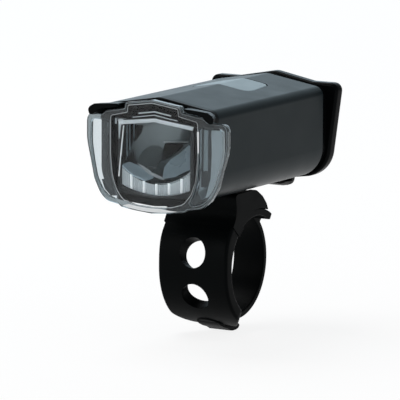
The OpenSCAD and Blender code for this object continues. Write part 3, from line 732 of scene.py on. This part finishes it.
BOWL_R = 14.8
BOWL_D = 12.8
BOWL_MOUTH = -33.4
BOWL_BACK = BOWL_MOUTH + BOWL_D
BOWL_FOCUS = BOWL_R * BOWL_R / (4 * BOWL_D)
AXIS_Z = RIDGE - 6.6
GABLE_TOP = RIDGE - 5.0
GABLE_RISE = 1.4
GABLE_T = 1.0
WINDOW_HALF = 9.9
BLOCK_HALF = 10.9
BAND_R = 25.0
BAND_BOTTOM = BELLY + 2.1
RIB_STEP = 3.6
RIB_R = 0.42
# Half length, lower and upper height of the painted highlight lines in the lens's tab
TAB_LINES = ((4.6, 42.45, 42.75), (6.4, 41.65, 41.85))
WALL_RIB_PLACES = (-30.9, -29.6, -27.6)
WALL_RIB_Z = 33.6
SLANT_LINE = [(-9.45, -33.5, 38.4), (-9.25, -33.5, 38.4), (-10.35, -33.9, 25.6), (-10.6, -33.9, 25.6)]


def band_edge(x):
    return BAND_BOTTOM + BAND_R - math.sqrt(BAND_R * BAND_R - x * x)


def gable_line(half, top, rise=GABLE_RISE):
    """Left end, peak and right end of a gable."""
    return [(-half, top - rise), (0, top), (half, top - rise)]


def window_points():
    """Gabled window whose lower edge is an arc."""
    steps = 24
    places = [(WINDOW_HALF - 2 * WINDOW_HALF * k / steps) for k in range(steps + 1)]
    return gable_line(WINDOW_HALF, GABLE_TOP - GABLE_T) + [(x, band_edge(x)) for x in places]


def make_reflector():
    rim = prism("reflector_frame", body_loop(1.4), lens_low.y, PLATE_FRONT)
    gable = [(-BLOCK_HALF, 0), (BLOCK_HALF, 0)] + gable_line(BLOCK_HALF, GABLE_TOP)[::-1]
    common(rim, prism("gable", gable, lens_low.y - 1, PLATE_FRONT + 1))
    cut(rim, prism("window", window_points(), lens_low.y - 2, PLATE_FRONT + 2))
    common(rim, bend_solid(LENS_T + 0.15, SHELL_FRONT))
    soften(rim, 0.12, 2, 50)
    reflector_piece("reflector_frame", rim, "frame_dark")
    upper = gable_line(BLOCK_HALF, GABLE_TOP - 0.02)
    lower = gable_line(BLOCK_HALF - 0.4, GABLE_TOP - GABLE_T + 0.02, GABLE_RISE + 0.02)
    strip = prism("gable_strip", upper + lower[::-1], lens_low.y, PLATE_FRONT - 0.5)
    common(strip, bend_solid(LENS_T + 0.02, SHELL_FRONT))
    soften(strip, 0.1, 2, 50)
    reflector_piece("gable_strip", strip, "gable_grey")
    make_bowl()
    make_ribbed_band()
    make_lens_painted_reflections()
    make_painted_light_lines()


def bowl_point(x, z, lift=0.0):
    """Point of the bowl, cut off by the window's side walls, for a place (x, z) seen along Y."""
    drop = z - AXIS_Z
    y = BOWL_BACK - (x * x + drop * drop) / (4 * BOWL_FOCUS)
    wall = WINDOW_HALF - lift
    return (max(-wall, min(wall, x)), max(BOWL_MOUTH + 0.05, y - lift), z)


def make_bowl():
    rows, cols = 40, 72
    verts = []
    for i in range(rows + 1):
        radius = BOWL_R * i / rows
        for j in range(cols + 1):
            angle = math.pi + math.pi * j / cols
            verts.append(bowl_point(radius * math.cos(angle), AXIS_Z + radius * math.sin(angle)))
    mesh = mesh_from("bowl", verts, grid_faces(rows + 1, cols + 1, wrap_cols=False))
    modify(mesh, "SOLIDIFY", thickness=0.5 * MM, offset=1.0)
    finish_mesh("bowl", mesh, "mirror", "reflector", slot="reflector", angle=25)
    for k, (name, look, outline) in enumerate(BOWL_PAINTED_REFLECTIONS):
        make_bowl_painted_reflection(name, look, outline, 0.06 + 0.03 * k)


# Name, look and outline of the painted reflections on the bowl, each laid a little above the last
BOWL_PAINTED_REFLECTIONS = [
    ("bowl_disc", "painted_dark_reflection", [
        (-7.5, 29.5), (-7.3, 31.6), (-6.3, 32.6), (-4.6, 32.6), (-3.0, 31.6), (-2.4, 29.5), (-2.6, 27.6),
        (-3.6, 26.5), (-5.4, 26.9), (-7.0, 28.0)]),
    ("bowl_black", "painted_black_reflection", [(-3.4, 33.2), (2.1, 33.2), (0.6, 31.5), (-2.1, 29.1), (-2.9, 30.5)]),
    ("bowl_line", "bowl_painted_highlight", [(-3.7, 33.35), (3.3, 33.8), (3.3, 34.0), (-3.7, 33.6)]),
    ("bowl_blue", "painted_blue_reflection", [
        (3.5, 33.2), (1.9, 31.4), (-0.2, 29.6), (-0.6, 27.9), (0.9, 25.6), (4.6, 26.4), (9.6, 28.9),
        (9.8, 33.4)]),
    ("bowl_low", "painted_blue_reflection", [
        (-10.4, 28.4), (-8.8, 29.1), (-6.6, 28.2), (-3.4, 26.4), (-1.0, 25.7), (-3.3, 24.9), (-6.7, 25.9)]),
    ("bowl_curve", "bowl_painted_highlight", [
        (-7.7, 29.1), (-5.6, 27.95), (-3.6, 26.75), (-1.0, 25.95), (1.6, 25.7), (1.6, 25.5),
        (-1.0, 25.75), (-3.65, 26.5), (-5.7, 27.7)]),
    ("bowl_upper", "painted_black_reflection", [(-9.9, 37.7), (-8.5, 37.6), (-8.7, 35.7), (-9.4, 33.4), (-9.9, 35)]),
]


def make_bowl_painted_reflection(name, look, outline, lift):
    """Painted reflection on the bowl: an outline in (x, z) laid on the bowl, in its own look."""
    points = fillet(outline, 0.4, 3)
    cx = sum(x for x, z in points) / len(points)
    cz = sum(z for x, z in points) / len(points)
    rings = 10
    loops = [[bowl_point(cx + (x - cx) * k / rings, cz + (z - cz) * k / rings, lift) for x, z in points]
             for k in range(rings + 1)]
    mesh = loft(name, loops, caps=False)
    modify(mesh, "SOLIDIFY", thickness=0.04 * MM, offset=0.0)
    reflector_piece(name, mesh, look, 25)


def bowl_edge(x):
    return AXIS_Z - math.sqrt(BOWL_R * BOWL_R - x * x)


def make_ribbed_band():
    """Fluted band between the bowl's mouth and the window's lower edge."""
    rows, cols = 10, 300
    verts = []
    for i in range(rows + 1):
        for j in range(cols + 1):
            x = -WINDOW_HALF + 2 * WINDOW_HALF * j / cols
            low, high = band_edge(x) - 0.05, bowl_edge(x) + 0.1
            flute = abs(math.sin(math.pi * x / RIB_STEP * 6))
            verts.append((x, BOWL_MOUTH + 0.45 - 0.2 * flute, low + (high - low) * i / rows))
    mesh = mesh_from("ribbed_band", verts, grid_faces(rows + 1, cols + 1, wrap_cols=False))
    modify(mesh, "SOLIDIFY", thickness=0.4 * MM, offset=-1.0)
    reflector_piece("ribbed_band", mesh, "band_grey_and_painted_glint", 50)
    for k in range(-2, 3):
        make_rib("band_rib_%d" % (k + 3), k * RIB_STEP)


def make_rib(name, x):
    """Half-round rib that stands on the band, in a bright colour that paints its highlight."""
    section = [(x + RIB_R * math.cos(a), BOWL_MOUTH + 0.4 - RIB_R * math.sin(a))
               for a in (math.pi * k / 16 for k in range(17))]
    mesh = prism(name, section, band_edge(x) + 0.15, bowl_edge(x) - 0.15, axis="z")
    soften(mesh, 0.08, 2, 60)
    reflector_piece(name, mesh, "rib_painted_highlight", 50)


# Name, look, depth behind the lens (0: on the plate) and outline of each painted reflection
LENS_PAINTED_REFLECTIONS = [
    ("painted_reflection_wing", "band_grey_and_painted_glint", 0, [(-15.7, 38.6), (-14.35, 38.7), (-14.7, 34.2), (-15.3, 33.9)]),
    ("painted_reflection_right", "mirror", 0.45, [
        (12.3, 38.9), (15.7, 38.9), (15.7, 27), (14.6, 22.6), (12.8, 21.4), (11.9, 23)]),
    ("painted_reflection_collar", "band_grey_and_painted_glint", 0.1, [(-11.85, 40.1), (-11.3, 40.15), (-11.3, 38.7), (-11.85, 38.65)]),
    ("painted_reflection_dark", "painted_black_reflection", 0.1, [(12.9, 28.6), (14.9, 28.9), (14.3, 24.9), (12.8, 24.6)]),
    ("painted_reflection_dark_side", "band_grey_and_painted_glint", 0.1, [(12.6, 28.6), (12.85, 28.6), (12.75, 24.6), (12.3, 24.2)]),
    ("painted_reflection_dark_foot", "band_grey_and_painted_glint", 0.1, [(12.3, 24.2), (12.75, 24.55), (14.4, 24.85), (14.5, 24.5)]),
    ("painted_reflection_foot", "painted_black_reflection", 0.1, [
        (-16.2, 24.3), (-14.6, 24.3), (-11.6, 20.6), (-13.2, 20.4), (-15.2, 22.0)]),
    ("painted_reflection_corner", "band_grey_and_painted_glint", 0.1, [
        (-10.8, 40.0), (-9.2, 40.1), (-9.2, 38.75), (-9.9, 38.6), (-10.6, 34.2)]),
]


def make_lens_painted_reflections():
    """Painted reflections beside the window, bright and dark, on the plate or just behind the lens."""
    for name, look, depth, outline in LENS_PAINTED_REFLECTIONS:
        mesh = prism(name, fillet(outline, 0.15), lens_low.y if depth else PLATE_FRONT - 0.25, PLATE_FRONT)
        if depth:
            common(mesh, bend_solid(LENS_T + depth, SHELL_FRONT))
        reflector_piece(name, mesh, look)


def make_painted_light_lines():
    """Painted highlight lines in the lens's tab, ribs on the window's side wall in a painted reflection's colour,
    and the painted highlight line beside it that slants.
    """
    for k, (half, low, high) in enumerate(TAB_LINES):
        rise = GABLE_RISE * half / 9
        outline = gable_line(half, low, rise) + gable_line(half, high, rise)[::-1]
        line = prism("tab_line", outline, lens_low.y, PLATE_FRONT)
        common(line, bend_solid(LENS_T + 0.05, SHELL_FRONT))
        cut(line, bend_solid(LENS_T + 0.3, SHELL_FRONT + 1))
        reflector_piece("tab_line_%d" % (k + 1), line, "band_grey_and_painted_glint")
    for k, place in enumerate(WALL_RIB_PLACES):
        outline = [(place + y, WALL_RIB_Z + z) for y, z in rounded_rectangle(0.3, 9.6, 0.1)]
        rib = prism("wall_rib_%d" % k, outline, -WINDOW_HALF - 0.12, -WINDOW_HALF + 0.12, axis="x")
        reflector_piece("wall_rib_%d" % k, rib, "painted_blue_reflection")
    mesh = loft("slant_line", [SLANT_LINE, [(x, y + 0.3, z) for x, y, z in SLANT_LINE]])
    reflector_piece("slant_line", mesh, "rib_painted_highlight")


# Rear cap

LIP_FRONT = 25.0
EAR_R = 2.0
EAR_W = 6.0
EAR_Z = EAVE + 1
FOOT_HALF = 8.6
# Depth behind the lip's front and inset of the lip's sections
LIP_SECTIONS = ((0.0, 0.75), (0.2, 0.3), (0.55, 0.06), (0.9, 0.0), (2.6, 0.0), (2.95, 0.06), (3.3, 0.3),
                (3.5, 0.75))
CAP_HOLLOW = [(0, RIDGE - 3.3), (12.8, EAVE - 2.6), (12.8, BELLY + 10), (10.5, BELLY + 3.2)]
PORT_Z = 26.9
SCREW_X = 11.2
SCREW_Z = BELLY + 11.6
# Radius and start of the screws' holes and of their counterbores
SCREW_BORES = ((1.15, LIP_FRONT - 1), (2.05, cap_high.y - 1.4))
# Depth behind the housing's rear and inset of the seal's section
REAR_SEAL = ((0.02, 1.0), (0.2, 0.75), (1.0, 0.75), (1.18, 1.0), (1.18, WALL), (0.02, WALL))
COVER_FRONT = 26.9
ROLL_R = 0.74


def cap_loop(inset):
    """Outline of the rear cap: a low gable between level ears, over a narrower foot."""
    gable = [(0, RIDGE + 0.2 - RIDGE_R, RIDGE_R)]
    lower = [(0, BELLY - 2 * BELLY_RISE + BELLY_R, BELLY_R)]
    for side in (-1, 1):
        gable.append((side * (cap_high.x - EAR_W - EAR_R), EAR_Z, EAR_R))
        lower.append((side * (cap_high.x - EAR_R), EAR_Z, EAR_R))
        lower.append((side * FOOT_HALF, BELLY + BELLY_R, BELLY_R))
    centre = (0.0, EAR_Z - 6)
    hulls = [hull_loop(circles, inset, 360) for circles in (gable, lower)]
    return sampled(lambda u: max(ray_reach(hull, centre, u) for hull in hulls), compass(240), centre)


def make_rear_cap():
    mesh = loft("rear_cap_gloss", sections((cap_loop(inset), LIP_FRONT + y) for y, inset in LIP_SECTIONS))
    join(mesh, prism("neck", body_loop(0.7), SHELL_REAR + 1.2, LIP_FRONT + 0.3))
    join(mesh, prism("spigot", body_loop(LIP_OUTER), SHELL_REAR - 4, SHELL_REAR + 1.4))
    cut(mesh, prism("hollow", fillet(mirrored(CAP_HOLLOW), 1.5), SHELL_REAR - 5, LIP_FRONT + 0.15))
    half, top = cover_high.x + 0.2, HINGE_Z + 1.05
    cut(mesh, prism("recess", mirrored([(half, 0), (half, top)]), LIP_FRONT + 1.7, cap_high.y + 2))
    port = [(x, PORT_Z + z) for x, z in rounded_rectangle(8.4, 3.5, 0.3)]
    cut(mesh, prism("port", port, LIP_FRONT - 1, cap_high.y))
    for side in (-1, 1):
        for radius, start in SCREW_BORES:
            bore = circle(radius, 40, (side * SCREW_X, SCREW_Z))
            cut(mesh, prism("screw_hole", bore, start, cap_high.y + 1))
    finish_mesh("rear_cap_gloss", mesh, "black_gloss", "rear_cap")


def make_rear_gasket():
    mesh = wall_loft("rear_seal", [(SHELL_REAR + depth, inset) for depth, inset in REAR_SEAL])
    finish_mesh("rear_seal", mesh, "seal_rubber", "rear_gasket")


def make_port_cover():
    """Rubber cover with a round hinge edge, a plug and a bulged finger tab at its foot."""
    low, high, half = cover_low.z, cover_high.z - 0.75, cover_high.x
    outline = fillet(mirrored([(half, low), (half, high + 0.3)]), [2.4, 0.6, 0.6, 2.4])
    mesh = prism("port_cover_rubber", outline, COVER_FRONT, cover_high.y, bevel=0.3)
    roll = circle(ROLL_R, 40, (COVER_FRONT + 0.75, high))
    join(mesh, prism("roll", roll, 0.04 - half, half - 0.04, axis="x"))
    plug = [(x, PORT_Z + z) for x, z in rounded_rectangle(6.0, 1.7, 0.3)]
    join(mesh, prism("plug", plug, cover_low.y, COVER_FRONT + 0.3))
    bulge = fillet(mirrored([(3.2, low + 0.04), (5.2, low + 1.55)]), [3, 0.4, 0.4, 3])
    mouth = fillet(mirrored([(3.0, low + 0.7), (4.6, low + 1.5)]), [2, 0.3, 0.3, 2])
    parts = ((mouth, COVER_FRONT - 2.6), (bulge, COVER_FRONT - 0.8), (bulge, cover_high.y - 0.35))
    join(mesh, loft("tab", sections(parts)))
    finish_mesh("port_cover_rubber", mesh, "cover_rubber", "port_cover", "cover", angle=50)


# Rubber mount

STRAP_R = 16.0
LINER_R = 14.5
STRAP_HALF = 10.0
TONGUE_HALF = 4.5
STRAP_ROOT = 138.0
HOLE_R = 3.75
HOLE_ANGLES = (164.0, 206.0, 248.0)
TAPER_START = 233.0
TIP_PLACE = -6.76
TIP_R = 7.05
TAPER_END = (6.62, -4.41)
SWELL = 0.34
FIT = 0.2
SADDLE_HALF = 10.15
SADDLE_R = 12.85
# Upper part of the saddle's side view, as (y, z), from the strap's root to the hook's slot
SADDLE_SIDE = [(-11.3, 13.5), (-11.1, 16.5), (-11.65, 19.6), (-1.28, 19.6), (2.05, 17.58), (4.10, 15.45),
               (4.93, 13.75)]
SADDLE_RADII = [0, 0, 7, 7, 1.2, 3, 3, 2, 0]
LINER_HALF = 9.7
PEG_SECTIONS = ((3.6, 13.5), (3.6, 15.9), (3.45, 16.25), (3.2, 16.35))
# Outside of the hook's lip, as (radius, angle)
HOOK_LIP = [(16.2, 240), (16.45, 241.5), (16.65, 245), (16.7, 252), (16.75, 258), (16.95, 261.5),
            (17.3, 264.5), (17.4, 268), (17.4, 273), (17.25, 276.5), (16.9, 278.6), (16.4, 279), (16.07, 278)]


def polar(radius, angle):
    a = math.radians(angle)
    return (radius * math.cos(a), radius * math.sin(a))


def arc(radius, start, end, step=3.0):
    """Points of an arc round the handlebar's axis, as (y, z)."""
    count = max(1, math.ceil(abs(end - start) / step))
    return [polar(radius, start + (end - start) * k / count) for k in range(count + 1)]


def swell(angle):
    """Thickness of the strap as a share of its plain one: it thickens towards its root."""
    share = max(0.0, min(1.0, (180.0 - angle) / 34.0))
    return 1 + SWELL * share * share * (3 - 2 * share)


def wrap_round(mesh, step=2.0, thicken=lambda angle: 1.0):
    """Wraps a flat mesh round the bar: Y is the way along the strap's outside, Z the height above the bar."""
    edit = bmesh.new()
    edit.from_mesh(mesh)
    stride = math.radians(step) * STRAP_R * MM
    places = [v.co.y for v in edit.verts]
    k = math.ceil(min(places) / stride)
    while k * stride < max(places):
        bmesh.ops.bisect_plane(edit, geom=edit.verts[:] + edit.edges[:] + edit.faces[:],
                               plane_co=(0, k * stride, 0), plane_no=(0, 1, 0))
        k += 1
    for v in edit.verts:
        angle = v.co.y / (STRAP_R * MM)
        radius = BAR_R * MM + v.co.z * thicken(math.degrees(angle))
        v.co = (v.co.x, radius * math.cos(angle), radius * math.sin(angle))
    bmesh.ops.recalc_face_normals(edit, faces=edit.faces)
    edit.to_mesh(mesh)
    edit.free()


def flat(angle):
    """Place along the flat strap for an angle round the bar."""
    return math.radians(angle) * STRAP_R


def flat_of(y):
    """Place along the flat strap for a point of its lower half seen from above."""
    return (2 * math.pi - math.acos(y / STRAP_R)) * STRAP_R


def strap_plan():
    """Outline of the unrolled strap as (x, place)."""
    tip_start = math.asin((TAPER_END[1] - TIP_PLACE) / TIP_R)
    side = [(STRAP_HALF, flat(STRAP_ROOT - 5)), (STRAP_HALF, flat(TAPER_START - 3)),
            (STRAP_HALF - 0.1, flat(TAPER_START))]
    taper_y = STRAP_R * math.cos(math.radians(TAPER_START))
    for k in range(1, 6):
        y = taper_y + (TAPER_END[1] - taper_y) * k / 6
        side.append((STRAP_HALF + (TAPER_END[0] - STRAP_HALF) * k / 6, flat_of(y)))
    steps = 20
    for k in range(steps + 1):
        a = tip_start + (math.pi / 2 - tip_start) * k / steps
        side.append((TIP_R * math.cos(a), flat_of(TIP_PLACE + TIP_R * math.sin(a))))
    return mirrored(side)


def flat_block(half, start, end, low, high):
    """Block across the flat strap between two angles and two heights."""
    return prism("block", mirrored([(half, flat(start)), (half, flat(end))]), low, high, axis="z")


def make_front_strap():
    thick = STRAP_R - BAR_R
    mesh = prism("front_strap_rubber", strap_plan(), 0, thick, axis="z")
    soften(mesh, 0.75, 4)
    for angle in HOLE_ANGLES:
        loops = []
        for t in (-0.6, thick / 2, thick + 0.6):
            stretch = STRAP_R / (BAR_R + t)
            loops.append([(x, flat(angle) + y * stretch, t) for x, y in circle(HOLE_R, 64)])
        cut(mesh, loft("hole", loops))
    cut(mesh, flat_block(TONGUE_HALF + FIT, 237, 284, -1, 1.8))
    soften(mesh, 0.25, 2, 50)
    cut(mesh, flat_block(12, STRAP_ROOT - 8, STRAP_ROOT, -1, 5))
    wrap_round(mesh, thicken=swell)
    finish_mesh("front_strap_rubber", mesh, "mount_rubber", "front_strap", "mount", angle=30)


def make_saddle():
    foot = STRAP_ROOT + 5
    side = fillet([polar(SADDLE_R, foot), polar(17.0, foot)] + SADDLE_SIDE, SADDLE_RADII)
    side += arc(LINER_R + 0.05, 70.4, 125) + arc(SADDLE_R, 125, foot - 1)
    mesh = prism("saddle_rubber", side, -SADDLE_HALF, SADDLE_HALF, bevel=1.1, segments=5, axis="x")
    root = arc(11.5, STRAP_ROOT, STRAP_ROOT + 14) + arc(20.0, STRAP_ROOT + 14, STRAP_ROOT)
    cut(mesh, prism("root", root, -12, 12, axis="x"))
    top = saddle_high.z - 0.5
    cut(mesh, prism("dip", mirrored([(7.1, top), (8.8, top + 0.5), (8.8, 25)]), -14, 6))
    slot = arc(12.0, 48, 90) + arc(STRAP_R + 0.05, 90, 48)
    cut(mesh, prism("slot", slot, -TONGUE_HALF - FIT, TONGUE_HALF + FIT, axis="x"))
    for radius, low, high in ((1.58, 10, 25), (2.9, 10, 16.7), (4.05, top - 0.2, 25)):
        cut(mesh, prism("bore", circle(radius, centre=(0, PIVOT_Y)), low, high, axis="z"))
    finish_mesh("saddle_rubber", mesh, "mount_rubber", "saddle", "mount", angle=30)


def make_liner():
    profile = arc(BAR_R, 57.7, 124) + arc(LINER_R, 124, 57.7)
    mesh = prism("liner_rubber", profile, -LINER_HALF, LINER_HALF, bevel=0.3, axis="x")
    finish_mesh("liner_rubber", mesh, "mount_rubber", "liner_pad", "mount", angle=30)


def make_hook_strap():
    profile = (arc(BAR_R, -121, 56.7) + arc(LINER_R + 0.05, 56.7, 90) + arc(STRAP_R, 90, 42)
               + [polar(15.2, 40.8)] + arc(14.3, 40.4, -121))
    mesh = prism("hook_rubber", profile, -TONGUE_HALF, TONGUE_HALF, bevel=0.35, axis="x")
    peg = loft("peg", [[(x, flat(HOLE_ANGLES[2]) + y * STRAP_R / reach, reach - BAR_R)
                        for x, y in circle(radius)] for radius, reach in PEG_SECTIONS])
    wrap_round(peg, 4.0)
    join(mesh, peg)
    lip = [polar(radius, angle) for radius, angle in HOOK_LIP] + arc(16.06, 276, 242)
    join(mesh, prism("lip", lip, -3.3, 3.3, bevel=0.3, axis="x"))
    finish_mesh("hook_rubber", mesh, "mount_rubber", "hook_strap", "mount", angle=30)


# Stage

FLOOR_HALF = 4000
FLOOR_GLOW = 1.06
GLOW_SHARE = 0.8
# Light of the surroundings, and what is added where the camera sees them
WORLD_LEVEL = 0.38
WORLD_SEEN = 0.75
# Name, place, target and size in metres, power in watts and colour
LAMPS = (
    ("roof_glow", (-0.45, 0.9, 0.34), (0, 0, 0.03), (1.5, 0.6), 2.9, (0.66, 0.87, 1.0)),
    ("overhead", (-0.35, 0.05, 0.8), (0, 0, 0.03), (0.5, 0.5), 3.4, (1, 1, 1)),
    ("front_fill", (-0.5, -0.9, 0.3), (0, -0.02, 0.03), (0.5, 0.5), 2.5, (1, 1, 1)),
    ("side", (0.8, -0.1, 0.35), (0, 0, 0.02), (0.4, 0.4), 0.3, (1, 1, 1)),
)
# CAD nodes that stay shown, by look
NODE_LOOKS = {
    "aluminium": ("led_board", "heat_sink"), "circuit_board": ("main_board", "port_board"),
    "component_black": ("driver_inductor", "charge_chip", "tact_switch"), "emitter": ("led_emitter",),
    "plunger": ("switch_plunger", "friction_washer"), "steel": ("usb_socket", "rear_screws", "pivot_screw"),
    "cell_foil": ("battery_cell",), "inner_plastic": ("chassis",), "lead_red": ("battery_leads",),
    "lead_white": ("led_leads",), "seal_rubber": ("button_seal",), "brass": ("pivot_insert",),
}


def add_camera():
    a, e, r = (math.radians(v) for v in (CAM_AZIMUTH, CAM_ELEVATION, CAM_ROLL))
    back = Vector((math.sin(a) * math.cos(e), -math.cos(a) * math.cos(e), math.sin(e)))
    right = Vector((math.cos(a), math.sin(a), 0.0))
    up = back.cross(right)
    eye = (right * CAM_RIGHT + up * CAM_UP + back * CAM_DISTANCE) * MM
    turn = Matrix((right, up, back)).transposed() @ Matrix.Rotation(r, 3, "Z")
    data = bpy.data.cameras.new("camera")
    data.sensor_width = SENSOR
    data.lens = CAM_FOCAL_PX / PHOTO_SIDE * SENSOR
    data.clip_start = 0.05
    data.clip_end = 20
    camera = add_object("camera", data)
    camera.matrix_world = Matrix.Translation(eye) @ turn.to_4x4()
    bpy.context.scene.camera = camera


def add_light(name, place, target, size, power, colour):
    data = bpy.data.lights.new(name, "AREA")
    data.shape = "RECTANGLE"
    data.size, data.size_y = size
    data.energy = power
    data.color = colour
    lamp = add_object(name, data)
    lamp.location = place
    lamp.rotation_euler = (Vector(target) - Vector(place)).to_track_quat("-Z", "Y").to_euler()
    lamp.visible_camera = False


def calculate(tree, operation, source, other):
    """Combines an output with a number or with another output."""
    node = tree.nodes.new("ShaderNodeMath")
    node.operation = operation
    tree.links.new(source, node.inputs[0])
    if isinstance(other, float):
        node.inputs[1].default_value = other
    else:
        tree.links.new(other, node.inputs[1])
    return node.outputs[0]


def ray_share(tree, kinds, share):
    """A factor of share for the given kinds of ray and 0 for the rest."""
    rays = tree.nodes.new("ShaderNodeLightPath")
    value = rays.outputs[kinds[0]]
    for kind in kinds[1:]:
        value = calculate(tree, "MAXIMUM", value, rays.outputs[kind])
    return calculate(tree, "MULTIPLY", value, share)


def add_stage():
    floor_z = min(strap_low.z, node_box("hook_strap")[0].z) - 0.3
    verts = [(x, y, floor_z) for x, y in mirrored([(FLOOR_HALF, -FLOOR_HALF), (FLOOR_HALF, FLOOR_HALF)])]
    mesh = mesh_from("floor", verts, [(0, 1, 2, 3)])
    material = bpy.data.materials.new("floor")
    material.use_nodes = True
    tree = material.node_tree
    nodes = tree.nodes
    nodes.clear()
    out = nodes.new("ShaderNodeOutputMaterial")
    paper = nodes.new("ShaderNodeBsdfDiffuse")
    paper.inputs["Color"].default_value = (0.85, 0.85, 0.85, 1)
    glow = nodes.new("ShaderNodeEmission")
    glow.inputs["Strength"].default_value = FLOOR_GLOW
    mix = nodes.new("ShaderNodeMixShader")
    share = ray_share(tree, ("Is Camera Ray", "Is Glossy Ray", "Is Transmission Ray"), GLOW_SHARE)
    tree.links.new(share, mix.inputs["Fac"])
    tree.links.new(paper.outputs[0], mix.inputs[1])
    tree.links.new(glow.outputs[0], mix.inputs[2])
    tree.links.new(mix.outputs[0], out.inputs["Surface"])
    floor = add_object("floor", mesh)
    mesh.materials.append(material)
    add_world()
    for lamp in LAMPS:
        add_light(*lamp)


def add_world():
    world = bpy.data.worlds.new("world")
    bpy.context.scene.world = world
    world.use_nodes = True
    tree = world.node_tree
    background = tree.nodes["Background"]
    background.inputs["Color"].default_value = (0.94, 0.97, 1.0, 1)
    seen = ray_share(tree, ("Is Camera Ray", "Is Transmission Ray"), WORLD_SEEN)
    tree.links.new(calculate(tree, "ADD", seen, WORLD_LEVEL), background.inputs["Strength"])


def dress_frame():
    """Gives the CAD nodes that stay shown their materials."""
    for look, nodes in NODE_LOOKS.items():
        for node in nodes:
            mesh = frame["nodes"][node].data
            mesh.materials.clear()
            mesh.materials.append(MATERIALS[look])
            for polygon in mesh.polygons:
                polygon.material_index = 0


bpy.context.scene.view_settings.view_transform = "Standard"
add_camera()
add_stage()
dress_frame()
for build in (make_housing, make_button, make_bezel, make_front_gasket, make_lens, make_reflector,
              make_rear_cap, make_rear_gasket, make_port_cover,
              make_saddle, make_liner, make_front_strap, make_hook_strap):
    build()
